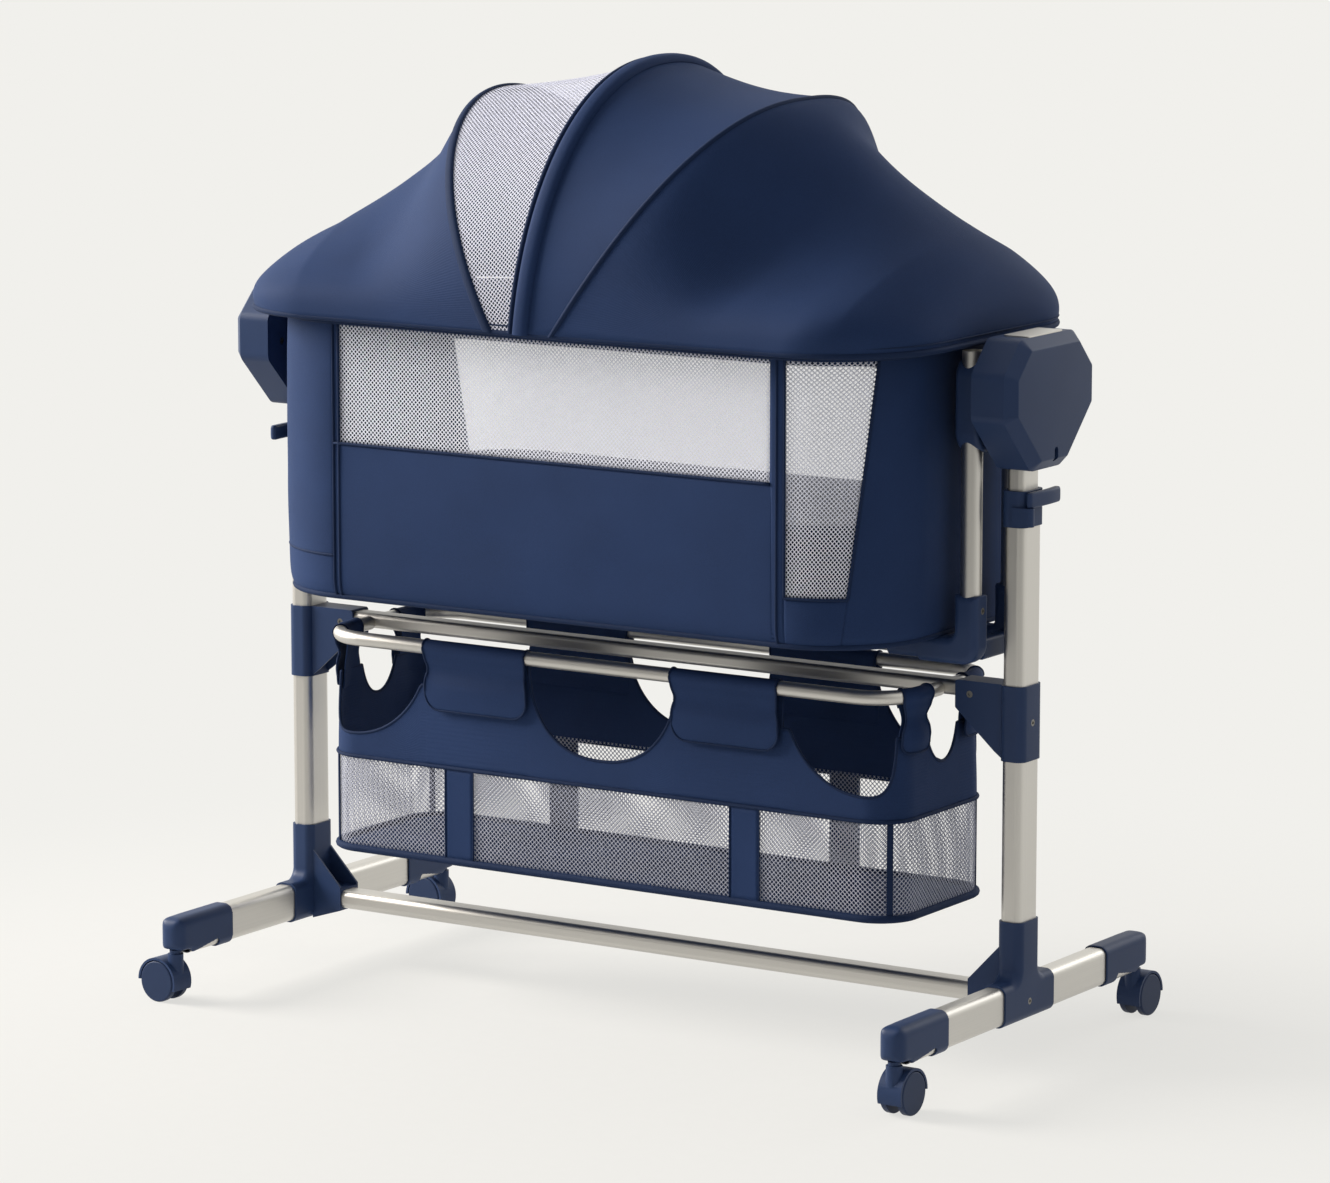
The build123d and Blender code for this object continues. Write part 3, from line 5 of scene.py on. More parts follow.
import bmesh
import bpy
import numpy as np
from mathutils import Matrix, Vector

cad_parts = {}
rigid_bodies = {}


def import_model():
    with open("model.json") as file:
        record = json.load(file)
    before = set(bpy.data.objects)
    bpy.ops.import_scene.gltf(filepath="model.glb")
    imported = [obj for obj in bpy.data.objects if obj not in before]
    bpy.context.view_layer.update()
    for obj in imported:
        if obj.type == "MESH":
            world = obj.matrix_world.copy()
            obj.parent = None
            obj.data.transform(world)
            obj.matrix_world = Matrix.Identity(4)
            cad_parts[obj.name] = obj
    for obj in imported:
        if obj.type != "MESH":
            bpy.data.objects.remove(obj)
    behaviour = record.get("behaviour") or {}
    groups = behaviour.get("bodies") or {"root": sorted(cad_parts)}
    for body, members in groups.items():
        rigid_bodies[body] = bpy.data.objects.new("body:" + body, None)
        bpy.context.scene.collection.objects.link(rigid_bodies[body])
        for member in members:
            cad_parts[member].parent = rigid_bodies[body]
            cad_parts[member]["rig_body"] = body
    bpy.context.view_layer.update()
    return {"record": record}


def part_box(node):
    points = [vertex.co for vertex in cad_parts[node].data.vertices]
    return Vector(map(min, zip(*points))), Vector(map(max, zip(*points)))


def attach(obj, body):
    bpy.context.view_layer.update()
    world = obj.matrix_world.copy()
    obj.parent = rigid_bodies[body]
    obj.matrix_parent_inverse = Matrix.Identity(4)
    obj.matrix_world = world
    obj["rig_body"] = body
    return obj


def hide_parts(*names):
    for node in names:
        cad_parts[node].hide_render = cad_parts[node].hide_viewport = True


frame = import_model()

bl_info = {
    "name": "Bassinet on stand",
    "version": (1, 0, 0),
    "blender": (4, 5, 0),
    "location": "View3D > Sidebar > Bassinet",
    "description": "Dresses the frame of a rocking bassinet with its cloth, mesh, metal and plastic",
    "category": "Add Mesh",
}

# lengths are in metres
MM = 0.001
SHELL_LOW, SHELL_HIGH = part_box("bassinet_shell")
COVER_LOW, COVER_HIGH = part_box("canopy_cover")
RING_LOW, RING_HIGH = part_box("basket_ring")
FLOOR_LOW, FLOOR_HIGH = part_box("basket_floor")
RIM_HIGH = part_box("rim_frame")[1]
RIM_RADIUS = 0.007


# ---------------------------------------------------------------- colours and shader nodes
def linear(colour):
    """Turns an sRGB hex value into linear red, green, blue and an alpha of one."""
    values = [int(colour[i : i + 2], 16) / 255 for i in (1, 3, 5)]
    return [v / 12.92 if v <= 0.04045 else ((v + 0.055) / 1.055) ** 2.4 for v in values] + [1.0]


def darker(colour, share):
    """The same colour, with its light cut to a share."""
    return [c * share for c in colour[:3]] + [1.0]


def node(tree, kind, settings=None, **inputs):
    """Adds a shader node, sets its properties, and sets or links its inputs.

    An input goes by its name, or by i and its number. A node given as a value stands for its first
    output. The setting stops holds the two (place, colour) pairs of a colour ramp.
    """
    made = tree.nodes.new(kind)
    for name, value in (settings or {}).items():
        if name == "stops":
            for element, (place, colour) in zip(made.color_ramp.elements, value):
                element.position = place
                element.color = colour
        else:
            setattr(made, name, value)
    for name, value in inputs.items():
        key = int(name[1:]) if name[0] == "i" and name[1:].isdigit() else name.replace("_", " ")
        if isinstance(value, bpy.types.Node):
            value = value.outputs[0]
        if isinstance(value, bpy.types.NodeSocket):
            tree.links.new(value, made.inputs[key])
        else:
            made.inputs[key].default_value = value
    return made


def new_material(name):
    """A material and its empty node tree."""
    material = bpy.data.materials.new(name)
    material.use_nodes = True
    material.node_tree.nodes.clear()
    return material, material.node_tree


# ---------------------------------------------------------------- materials
ADD, MULTIPLY, MAXIMUM = ({"operation": name} for name in ("ADD", "MULTIPLY", "MAXIMUM"))
SMOOTH = {"interpolation_type": "SMOOTHSTEP"}
# a noise of this scale along a bar draws one long streak on it
STREAK = 2
# brush lines 0.6 mm apart, drawn coarser than the real 0.05 mm so that they show
BRUSH = 1.6 / MM


def satin_steel(name, stretch, colour):
    """Stainless tube with a satin finish: fine brush lines run along it and blur what it reflects."""
    material, tree = new_material(name)
    place = node(tree, "ShaderNodeTexCoord").outputs["Object"]
    drawn_out = node(tree, "ShaderNodeMapping", Vector=place, Scale=stretch)
    lines = node(tree, "ShaderNodeTexNoise", Vector=drawn_out, Scale=1.0, Detail=2.0, Roughness=0.5)
    stops = [(0.3, darker(colour, 0.93)), (0.7, colour)]
    tone = node(tree, "ShaderNodeValToRGB", {"stops": stops}, Fac=lines)
    rough = node(tree, "ShaderNodeMapRange", Value=lines, To_Min=0.38, To_Max=0.46)
    bump = node(tree, "ShaderNodeBump", Height=lines, Strength=0.04, Distance=0.1 * MM)
    shader = node(
        tree, "ShaderNodeBsdfPrincipled", Base_Color=tone, Metallic=1.0, Roughness=rough, Normal=bump
    )
    node(tree, "ShaderNodeOutputMaterial", Surface=shader)
    return material


def moulded_plastic(name, colour):
    """Polypropylene moulded in a spark-eroded tool: a fine even grain and a low, broad sheen."""
    material, tree = new_material(name)
    place = node(tree, "ShaderNodeTexCoord").outputs["Object"]
    # 0.8 mm grain, drawn coarser than the real 0.2 mm so that it shows, and clouds of 70 mm
    grain = node(tree, "ShaderNodeTexNoise", Vector=place, Scale=1.25 / MM, Detail=2.0)
    cloud = node(tree, "ShaderNodeTexNoise", Vector=place, Scale=14.0, Detail=2.0)
    stops = [(0.35, darker(colour, 0.93)), (0.65, colour)]
    tone = node(tree, "ShaderNodeValToRGB", {"stops": stops}, Fac=cloud)
    rough = node(tree, "ShaderNodeMapRange", Value=grain, To_Min=0.4, To_Max=0.48)
    bump = node(tree, "ShaderNodeBump", Height=grain, Strength=0.12, Distance=0.2 * MM)
    shader = node(
        tree, "ShaderNodeBsdfPrincipled",
        Base_Color=tone, Roughness=rough, Normal=bump, Specular_IOR_Level=0.2,
    )
    node(tree, "ShaderNodeOutputMaterial", Surface=shader)
    return material


def oxford_cloth(name, colour):
    """Solution-dyed polyester oxford: a plain weave whose threads lift the surface, with a soft sheen."""
    material, tree = new_material(name)
    coordinates = node(tree, "ShaderNodeTexCoord")
    # the UVs are in metres; threads 1.1 mm apart, twice the real spacing so that they show
    thread = {"Vector": coordinates.outputs["UV"], "Scale": 0.31 / (1.1 * MM), "Distortion": 0.6}
    warp, weft = (node(tree, "ShaderNodeTexWave", {"bands_direction": way}, **thread) for way in "XY")
    weave = node(tree, "ShaderNodeMath", MULTIPLY, i0=warp.outputs["Fac"], i1=weft.outputs["Fac"])
    # flecks of 1.1 mm and clouds of 110 mm in the dye, in equal parts
    place = coordinates.outputs["Object"]
    flecks = node(tree, "ShaderNodeTexNoise", Vector=place, Scale=0.9 / MM, Detail=3.0)
    clouds = node(tree, "ShaderNodeTexNoise", Vector=place, Scale=9.0, Detail=3.0)
    half_clouds = node(tree, "ShaderNodeMath", MULTIPLY, i0=clouds, i1=0.5)
    dye = node(tree, "ShaderNodeMath", {"operation": "MULTIPLY_ADD"}, i0=flecks, i1=0.5, i2=half_clouds)
    tone = node(
        tree, "ShaderNodeValToRGB", {"stops": [(0.35, darker(colour, 0.78)), (0.62, colour)]}, Fac=dye
    )
    shader = node(
        tree,
        "ShaderNodeBsdfPrincipled",
        Base_Color=tone,
        Roughness=0.7,
        Specular_IOR_Level=0.12,
        Sheen_Weight=0.04,
        Sheen_Roughness=0.4,
        Sheen_Tint=linear("#7f92c4"),
        Normal=node(tree, "ShaderNodeBump", Height=weave, Strength=0.35, Distance=0.4 * MM),
    )
    node(tree, "ShaderNodeOutputMaterial", Surface=shader)
    return material


def warp_knit_mesh(name, colour, pitch, cover, translucent):
    """Polyester warp-knit mesh: round holes in staggered rows, with pale threads between them.

    The holes lie on two square lattices, shifted by half a pitch. Each is where the larger of the two
    sums cos(2 pi x / pitch) + cos(2 pi y / pitch) is over the cover, with a soft edge.
    """
    edge = 0.12
    material, tree = new_material(name)
    split = node(tree, "ShaderNodeSeparateXYZ", Vector=node(tree, "ShaderNodeTexCoord").outputs["UV"])
    lattices = []
    for shift in (0.0, np.pi):
        waves = []
        for axis in "XY":
            turned = node(tree, "ShaderNodeMath", MULTIPLY, i0=split.outputs[axis], i1=2 * np.pi / pitch)
            moved = node(tree, "ShaderNodeMath", ADD, i0=turned, i1=shift)
            waves.append(node(tree, "ShaderNodeMath", {"operation": "COSINE"}, i0=moved))
        lattices.append(node(tree, "ShaderNodeMath", ADD, i0=waves[0], i1=waves[1]))
    peak = node(tree, "ShaderNodeMath", MAXIMUM, i0=lattices[0], i1=lattices[1])
    hole = node(
        tree, "ShaderNodeMapRange", Value=peak, From_Min=cover, From_Max=cover + edge, To_Min=0.0, To_Max=1.0
    )
    bump = node(tree, "ShaderNodeBump", Height=hole, Strength=0.5, Distance=-0.6 * MM)
    thread = node(tree, "ShaderNodeBsdfPrincipled", Base_Color=colour, Roughness=0.7, Normal=bump)
    light = node(tree, "ShaderNodeBsdfTranslucent", Color=colour)
    cloth = node(tree, "ShaderNodeMixShader", Fac=translucent, i1=thread, i2=light)
    clear = node(tree, "ShaderNodeBsdfTransparent")
    mixed = node(tree, "ShaderNodeMixShader", Fac=hole, i1=cloth, i2=clear)
    node(tree, "ShaderNodeOutputMaterial", Surface=mixed)
    return material


def fibreboard(name, colour):
    """Sanded fibreboard: pale and dark fibres about a millimetre long, with a dry, even surface."""
    material, tree = new_material(name)
    place = node(tree, "ShaderNodeTexCoord").outputs["Object"]
    fibres = node(tree, "ShaderNodeTexNoise", Vector=place, Scale=0.7 / MM, Detail=3.0)
    stops = [(0.35, darker(colour, 0.75)), (0.65, colour)]
    tone = node(tree, "ShaderNodeValToRGB", {"stops": stops}, Fac=fibres)
    shader = node(tree, "ShaderNodeBsdfPrincipled", Base_Color=tone, Roughness=0.75)
    node(tree, "ShaderNodeOutputMaterial", Surface=shader)
    return material


def make_materials():
    """Every finish of the bassinet, by a short name."""
    colours = bpy.context.scene.bassinet_colours
    cloth, plastic = list(colours.cloth), list(colours.plastic)
    steel, net = list(colours.steel), list(colours.net)
    pitch = bpy.context.scene.bassinet_sizes.net_pitch
    basket_pitch = bpy.context.scene.bassinet_sizes.basket_pitch
    return {
        "tube_x": satin_steel("Satin stainless tube along X", (STREAK, BRUSH, BRUSH), steel),
        "tube_y": satin_steel("Satin stainless tube along Y", (BRUSH, STREAK, BRUSH), steel),
        "tube_z": satin_steel("Satin stainless tube along Z", (BRUSH, BRUSH, STREAK), steel),
        "screw": satin_steel("Zinc-plated steel screw", (300, 300, 300), darker(steel, 0.35)),
        "bow": satin_steel("Blued spring steel", (200, 200, 200), linear("#4a4f5a")),
        "plastic": moulded_plastic("Navy moulded polypropylene", plastic),
        "wheel": moulded_plastic("Navy nylon wheel", darker(plastic, 0.75)),
        "dark_plastic": moulded_plastic("Dark navy acetal", darker(plastic, 0.5)),
        "cloth": oxford_cloth("Navy polyester oxford cloth", cloth),
        "lining": oxford_cloth("Navy polyester lining", darker(cloth, 0.5)),
        "binding": oxford_cloth("Navy polyester binding tape", darker(cloth, 0.62)),
        "base_cloth": oxford_cloth("Navy polyester basket base", darker(cloth, 0.9)),
        "piping": oxford_cloth("Pale grey polyester piping", linear("#c9cad0")),
        "mattress": oxford_cloth("Pale grey knitted mattress cover", linear("#ecedf0")),
        "board": fibreboard("Medium-density fibreboard", linear("#8f7b5f")),
        "mesh": warp_knit_mesh("White warp-knit mesh", net, pitch, 0.68, 0.15),
        "rear_mesh": warp_knit_mesh("White warp-knit mesh of the rear", net, 1.8 * MM, 0.2, 0.4),
        "canopy_mesh": warp_knit_mesh("Pale lavender canopy mesh", linear("#e9ebf8"), pitch, 0.62, 0.25),
        "basket_mesh": warp_knit_mesh("Grey basket mesh", linear("#babdcb"), basket_pitch, 0.42, 0.3),
    }


FINISHES = {}


def finishes():
    """The finishes, made once."""
    if not FINISHES:
        FINISHES.update(make_materials())
    return FINISHES


def add_object(name, data):
    """An object in the scene, for a mesh, a lamp or a camera."""
    made = bpy.data.objects.new(name, data)
    bpy.context.scene.collection.objects.link(made)
    return made


def grid_mesh(name, points, material, body, closed_u=False, closed_v=False, flared=False):
    """Makes a mesh from a grid of points (rows, columns, 3), whose UV map is in metres along the surface.

    Each face joins four neighbouring grid points. U is the distance summed along a row, as a mean of all
    rows, and V the distance summed up the middle column, so that a weave keeps its real size. On a
    flared panel V is measured in each column by itself, from its middle, because the columns differ in
    length.
    """
    rows, columns = points.shape[:2]
    row_steps = np.arange(rows if closed_v else rows - 1)
    column_steps = np.arange(columns if closed_u else columns - 1)
    i, j = np.meshgrid(row_steps, column_steps, indexing="ij")
    row = np.stack([i, i, i + 1, i + 1], -1)
    column = np.stack([j, j + 1, j + 1, j], -1)
    corners = (row % rows) * columns + column % columns
    mesh = bpy.data.meshes.new(name)
    mesh.from_pydata(points.reshape(-1, 3).tolist(), [], corners.reshape(-1, 4).tolist())
    mesh.shade_smooth()
    step_u = np.linalg.norm(np.diff(points, axis=1, append=points[:, :1]), axis=2).mean(0)
    step_v = np.linalg.norm(np.diff(points, axis=0, append=points[:1]), axis=2)
    u = np.broadcast_to(np.concatenate([[0], np.cumsum(step_u)]), (rows + 1, columns + 1))
    v = np.concatenate([np.zeros((1, columns)), np.cumsum(step_v, axis=0)])
    if flared:
        v = np.concatenate([v, v[:, :1]], axis=1)
        v = v - v[rows // 2]
    else:
        v = np.broadcast_to(v[:, columns // 2, None], u.shape)
    places = np.stack([u[row, column], v[row, column]], -1)
    mesh.uv_layers.new(name="UVMap").data.foreach_set("uv", places.ravel())
    made = add_object(name, mesh)
    made.data.materials.append(material)
    if body:
        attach(made, body)
    return made


def thicken(piece, thickness, offset=-1.0):
    """Gives a sheet its wall, inwards unless the offset is 1."""
    wall = piece.modifiers.new("Wall", "SOLIDIFY")
    wall.thickness = thickness
    wall.offset = offset
    return piece


def cut_sheet(piece, points, closed=False):
    """Hands back the piece unchanged. For a closed grid its points get their first column again at the end,
    and are not used further.
    """
    if closed:
        points = np.concatenate([points, points[:, :1]], axis=1)
    return piece


def flip(piece):
    """Turns a piece's faces round."""
    piece.data.flip_normals()
    return piece


@contextmanager
def opened(piece):
    """Opens a piece's mesh for edits of its faces, and closes it again."""
    shape = bmesh.new()
    shape.from_mesh(piece.data)
    yield shape
    shape.to_mesh(piece.data)
    shape.free()


def unit(vectors):
    """The vectors, made one long."""
    return vectors / np.maximum(np.linalg.norm(vectors, axis=-1, keepdims=True), 1e-9)


def tube(name, path, radius, material, body, sides=10, closed=False, up=None):
    """A round bar carried along a path of points.

    The section circle is set at each point square to the path's tangent, and turned so that one of its
    axes lies as near to `up` as it can.
    """
    if closed:
        tangent = unit(np.roll(path, -1, axis=0) - np.roll(path, 1, axis=0))
    else:
        tangent = unit(np.gradient(path, axis=0))
    if up is None:
        upright = np.abs(tangent[:, 2]).mean() > 0.8
        up = (0.6, 0.8, 0.0) if upright else (0.0, 0.0, 1.0)
    side = unit(np.cross(tangent, up))
    high = np.cross(side, tangent)
    turn = np.linspace(0, 2 * np.pi, sides, endpoint=False)[::-1, None]
    ring = path[:, None] + radius * (np.cos(turn) * side[:, None] + np.sin(turn) * high[:, None])
    made = grid_mesh(name, ring, material, body, closed_u=True, closed_v=closed)
    if not closed:
        cap_ends(made, len(path), sides)
    return made


def cap_ends(piece, rows, sides):
    """Closes the two ends of an open tube with one face each."""
    with opened(piece) as shape:
        shape.verts.ensure_lookup_table()
        shape.faces.new([shape.verts[i] for i in range(sides)][::-1])
        shape.faces.new([shape.verts[(rows - 1) * sides + i] for i in range(sides)])


def smoothstep(t):
    """3 t^2 - 2 t^3 between 0 and 1."""
    t = np.clip(t, 0, 1)
    return t * t * (3 - 2 * t)


def hump(x, reach):
    """The bell curve exp(-(x / reach)^2), 1 at zero."""
    return np.exp(-((x / reach) ** 2))


def rounded_outline(distance, half_length, half_width, corner):
    """Points on a rounded rectangle and its outward directions, at distances measured round it.

    The distance starts at the middle of the front side and grows towards +X, round the right-hand end,
    along the back and round the left-hand end. Along a side the centre of the corner's circle moves and
    the outward direction stays; round a corner the direction turns and the centre stays.
    """
    x, y = half_length - corner, half_width - corner
    quarter_turn = corner * np.pi / 2
    sides = [x, quarter_turn, 2 * y, quarter_turn, 2 * x, quarter_turn, 2 * y, quarter_turn, x]
    starts = np.concatenate([[0], np.cumsum(sides)])
    along = np.mod(distance, starts[-1])
    centre_x = np.interp(along, starts, [0, x, x, x, x, -x, -x, -x, -x, 0])
    centre_y = np.interp(along, starts, [-y, -y, -y, y, y, y, y, -y, -y, -y])
    angle = np.interp(along, starts, np.array([-1, -1, 0, 0, 1, 1, 2, 2, 3, 3]) * np.pi / 2)
    out_x, out_y = np.cos(angle), np.sin(angle)
    return centre_x + corner * out_x, centre_y + corner * out_y, out_x, out_y


def outline_length(half_length, half_width, corner):
    """The full length round a rounded rectangle."""
    return 4 * (half_length - corner + half_width - corner) + 2 * np.pi * corner


def round_outline(outline, count):
    """A number of even distances round a rounded rectangle."""
    return np.linspace(0, outline_length(*outline), count, endpoint=False)


def wall_points(distance, z, out, outline):
    """Points at distances and heights on a wall that stands on a rounded rectangle, moved outwards."""
    x, y, out_x, out_y = rounded_outline(distance, *outline)
    return np.stack(np.broadcast_arrays(x + out * out_x, y + out * out_y, z), -1)


# ---------------------------------------------------------------- canopy
RIM_Z = COVER_LOW.z
HALF_LENGTH = COVER_HIGH.x
HALF_WIDTH = 0.222
CANOPY_CORNER = 0.12
CANOPY = (HALF_LENGTH, HALF_WIDTH, CANOPY_CORNER)
# distance in from the end, and the crest's height above the rim there
LEFT_CREST = np.array(
    [[0, 0], [0.0005, 0.028], [0.003, 0.043], [0.009, 0.058], [0.018, 0.067], [0.035, 0.076],
     [0.06, 0.088], [0.09, 0.107], [0.13, 0.134], [0.17, 0.165], [0.23, 0.231]]
)
RIGHT_CREST = np.array(
    [[0, 0], [0.0005, 0.03], [0.003, 0.046], [0.009, 0.065], [0.018, 0.079], [0.035, 0.095],
     [0.06, 0.112], [0.09, 0.133], [0.13, 0.162], [0.17, 0.194], [0.225, 0.2335]]
)
# how steeply each crest runs into its bow, as a share of its last step's slope
LEFT_RUN_IN = 1.1
RIGHT_RUN_IN = 0.3
# each bow's foot, its crest, the crest's height above the rim, and how square its arch is
BOWS = np.array([[-0.050, -0.185, 0.231, 1.95], [-0.012, 0.015, 0.2665, 2.15], [0.025, 0.190, 0.2335, 2.5]])
# how far the mesh panel and the middle panel sag between their bows
MESH_SAG = 0.004
CLOTH_SAG = 0.009
# the powers of the arch at the ends, of the square shoulder and of the bell that stands on it
END_ARCH = 2.6
SHOULDER_ARCH = 3.2
BELL = 1.95
# the shoulder's height, and its greatest share of the crest's height
SHOULDER_HEIGHT = 0.062
SHOULDER_SHARE = 0.62
# the shoulder has fully taken over after 1 / 2.13 of the way from a bow to its end
SHOULDER_GROWTH = 2.13
# the hem is drawn in a little round the ends
HEM_TUCK = 0.004
TUCK_HEIGHT = 0.012
CANOPY_CLOTH = 0.0016
MESH_THICKNESS = 0.0006


def side_swell(x):
    """How far the long sides swell outwards at x: 5 mm in the middle, as a bell curve 150 mm wide."""
    return 0.005 * hump(x, 0.15)


def smooth_curve(x, table, last_slope):
    """A curve through the table's points without overshoot: cubics with harmonic-mean slopes.

    The slope at the last point is a share, last_slope, of the last step's own.
    """
    px, py = table[:, 0], table[:, 1]
    run = np.diff(px)
    slope = np.diff(py) / run
    tangent = np.zeros_like(px)
    tangent[1:-1] = 2 * slope[:-1] * slope[1:] / np.maximum(slope[:-1] + slope[1:], 1e-9)
    tangent[0] = slope[0]
    tangent[-1] = slope[-1] * last_slope
    k = np.clip(np.searchsorted(px, x, side="right") - 1, 0, len(run) - 1)
    t = np.clip((x - px[k]) / run[k], 0, 1)
    rising = smoothstep(t)
    first = t * (1 - t) ** 2 * run[k] * tangent[k]
    last = t * t * (t - 1) * run[k] * tangent[k + 1]
    return (1 - rising) * py[k] + rising * py[k + 1] + first + last


def canopy_point(s, v):
    """The canopy's surface: s runs 0, 1, 2, 3, 4 from the left end over the three bows to the right
    end, and v from 0 at the front rim over the crest to 1 at the rear rim.

    Each section lies in a plane that leans from its feet to its crest. At a bow it is a superellipse,
    abs(y / w)^n + (h / H)^n = 1. Towards the ends it turns into a square shoulder with a bell on it,
    h = shoulder * (1 - abs(y / w)^3.2)^(1/3.2) + (H - shoulder) * (1 - (y / w)^2)^1.95.
    """
    s, v = np.broadcast_arrays(np.asarray(s, float), np.asarray(v, float))
    at_right = s > 3
    near_end = (s < 1) | at_right
    side = np.where(at_right, 1.0, -1.0)
    # near an end: q is 0 at the end and 1 at its bow
    q = np.clip(np.where(at_right, 4 - s, s), 0, 1)
    bow = np.where(at_right, 2, 0)
    foot_run = HALF_LENGTH - side * BOWS[bow, 0]
    top_run = HALF_LENGTH - np.abs(BOWS[bow, 1])
    run = top_run * q
    right_rise = smooth_curve(run, RIGHT_CREST, RIGHT_RUN_IN)
    rise = np.where(at_right, right_rise, smooth_curve(run, LEFT_CREST, LEFT_RUN_IN))
    end_arch = END_ARCH + (BOWS[bow, 3] - END_ARCH) * smoothstep(q * 1.2 - 0.2)
    # between two bows: t is 0 at the left one and 1 at the right one
    low = np.clip(np.floor(s - 1).astype(int), 0, 1)
    t = np.clip(s - 1, 0, 2) - low
    between = BOWS[low] * (1 - t)[..., None] + BOWS[low + 1] * t[..., None]
    sag = np.where(low == 0, MESH_SAG, CLOTH_SAG) * np.sin(np.pi * t)
    foot = np.where(near_end, side * (HALF_LENGTH - foot_run * q), between[..., 0])
    top = np.where(near_end, side * (HALF_LENGTH - top_run * q), between[..., 1])
    high = np.where(near_end, rise, between[..., 2] - sag)
    square = np.where(near_end, end_arch, between[..., 3])
    # the half width at the foot, on the rim's rounded rectangle
    reach = np.maximum(0, np.abs(foot) - (HALF_LENGTH - CANOPY_CORNER))
    width = HALF_WIDTH - CANOPY_CORNER + np.sqrt(np.maximum(CANOPY_CORNER**2 - reach**2, 0))
    width = width + side_swell(foot)
    across = -np.cos(np.pi * v)
    rounding = np.abs(np.sin(np.pi * v))
    shoulder = np.minimum(SHOULDER_HEIGHT, high * SHOULDER_SHARE)
    blend = np.where(near_end, smoothstep((1 - q) * SHOULDER_GROWTH), 0)
    y_arch = np.sign(across) * np.abs(across) ** (2 / square)
    y_bell = np.sign(across) * np.abs(across) ** (2 / SHOULDER_ARCH)
    h_bell = shoulder * rounding ** (2 / SHOULDER_ARCH) + (high - shoulder) * (1 - y_bell**2) ** BELL
    h = (1 - blend) * high * rounding ** (2 / square) + blend * h_bell
    y = width * ((1 - blend) * y_arch + blend * y_bell)
    x = foot + (top - foot) * h / np.maximum(high, 1e-6)
    tuck = HEM_TUCK * np.exp(-h / TUCK_HEIGHT) * blend
    x = x - side * tuck * (np.abs(foot) > HALF_LENGTH - CANOPY_CORNER)
    return np.stack([x, y, RIM_Z + h], -1)


def canopy_panel(name, start, end, steps, material, bunch=1.0, thickness=CANOPY_CLOTH):
    """One sewn panel of the canopy between two values of s, whose lines bunch up towards an end."""
    t = np.linspace(0, 1, steps)
    s = start + (end - start) * (t**bunch if start == 0 else 1 - (1 - t) ** bunch)
    points = canopy_point(s[:, None], np.linspace(0, 1, 141))
    panel = thicken(grid_mesh(name, points, material, "canopy", flared=True), thickness)
    return cut_sheet(panel, points)


def canopy_band(name, number, half_width, height, material, power, shift=0.0):
    """A raised band sewn along a bow: its section is a half superellipse standing on the surface.

    Across the band, u from -1 to 1 gives a height of (1 - abs(u)^p)^(1/p) times the full height. The
    band lies square to the bow's leaning plane, since at the rim the panels meet in a point.
    """
    u = -np.cos(np.linspace(0, np.pi, 13))
    centre = canopy_point(number, np.linspace(0, 1, 161))
    foot, crest, crest_height = BOWS[number - 1, :3]
    across = unit(np.array([crest_height, 0.0, foot - crest]))
    up = np.cross(across, unit(np.gradient(centre, axis=0)))
    outward = (up * (centre - [0, 0, RIM_Z])).sum(1, keepdims=True) > 0
    up = np.where(outward, up, -up)
    rise = height * (1 - np.abs(u) ** power) ** (1 / power)
    points = centre[:, None] + (half_width * u + shift)[:, None] * across + rise[:, None] * up[:, None]
    points[..., 2] = np.maximum(points[..., 2], RIM_Z + 0.5 * MM)
    return grid_mesh(name, points, material, "canopy")


def rim_line(inset, height):
    """A line round the canopy's rim, drawn in by an inset, at a height over the rim's own."""
    distance = round_outline(CANOPY, 480)
    x, _, _, out_y = rounded_outline(distance, *CANOPY)
    swell = side_swell(x) * (np.abs(out_y) > 0.5)
    return wall_points(distance, RIM_Z + height, swell - inset, CANOPY)


def make_canopy(finish):
    """The canopy: two flared end panels, a mesh panel, a middle panel, bindings and a hem."""
    cloth, binding = finish["cloth"], finish["binding"]
    left = canopy_panel("canopy_left_panel", 0, 1, 90, cloth, bunch=1.8)
    right = canopy_panel("canopy_right_panel", 3, 4, 90, cloth, bunch=1.8)
    middle = canopy_panel("canopy_middle_panel", 2, 3, 40, cloth)
    net = canopy_panel("canopy_mesh_panel", 1, 2, 40, finish["canopy_mesh"], thickness=MESH_THICKNESS)
    trim = [
        canopy_band("canopy_left_binding", 1, 0.0055, 0.0035, binding, 2.4, shift=-0.002),
        canopy_band("canopy_centre_binding", 2, 0.003, 0.0035, binding, 2.0, shift=-0.013),
        canopy_band("canopy_centre_band", 2, 0.0095, 0.0075, cloth, 2.6, shift=0.0005),
        canopy_band("canopy_right_piping", 3, 0.0032, 0.0042, binding, 2.0),
        tube("canopy_hem_piping", rim_line(0.0015, 0.001), 0.0034, binding, "canopy", 10, closed=True),
        # the hem seam is real; the thin cord in the dark binding colour is painted shade of the seam's small
        # groove
        tube("canopy_hem_seam_shade_line", rim_line(-0.0004, 0.0085), 0.0009, binding, "canopy", 6, closed=True),
    ]
    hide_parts("canopy_cover")
    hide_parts("canopy_mesh")


# ---------------------------------------------------------------- bassinet body
BODY_HALF_LENGTH = SHELL_HIGH.x
BODY_HALF_WIDTH = SHELL_HIGH.y
BODY_CORNER = 0.11
BODY = (BODY_HALF_LENGTH, BODY_HALF_WIDTH, BODY_CORNER)
BODY_BOTTOM = SHELL_LOW.z
BODY_TOP = SHELL_HIGH.z
BODY_CLOTH = 0.0022
HALF_ROUND = outline_length(*BODY) / 2
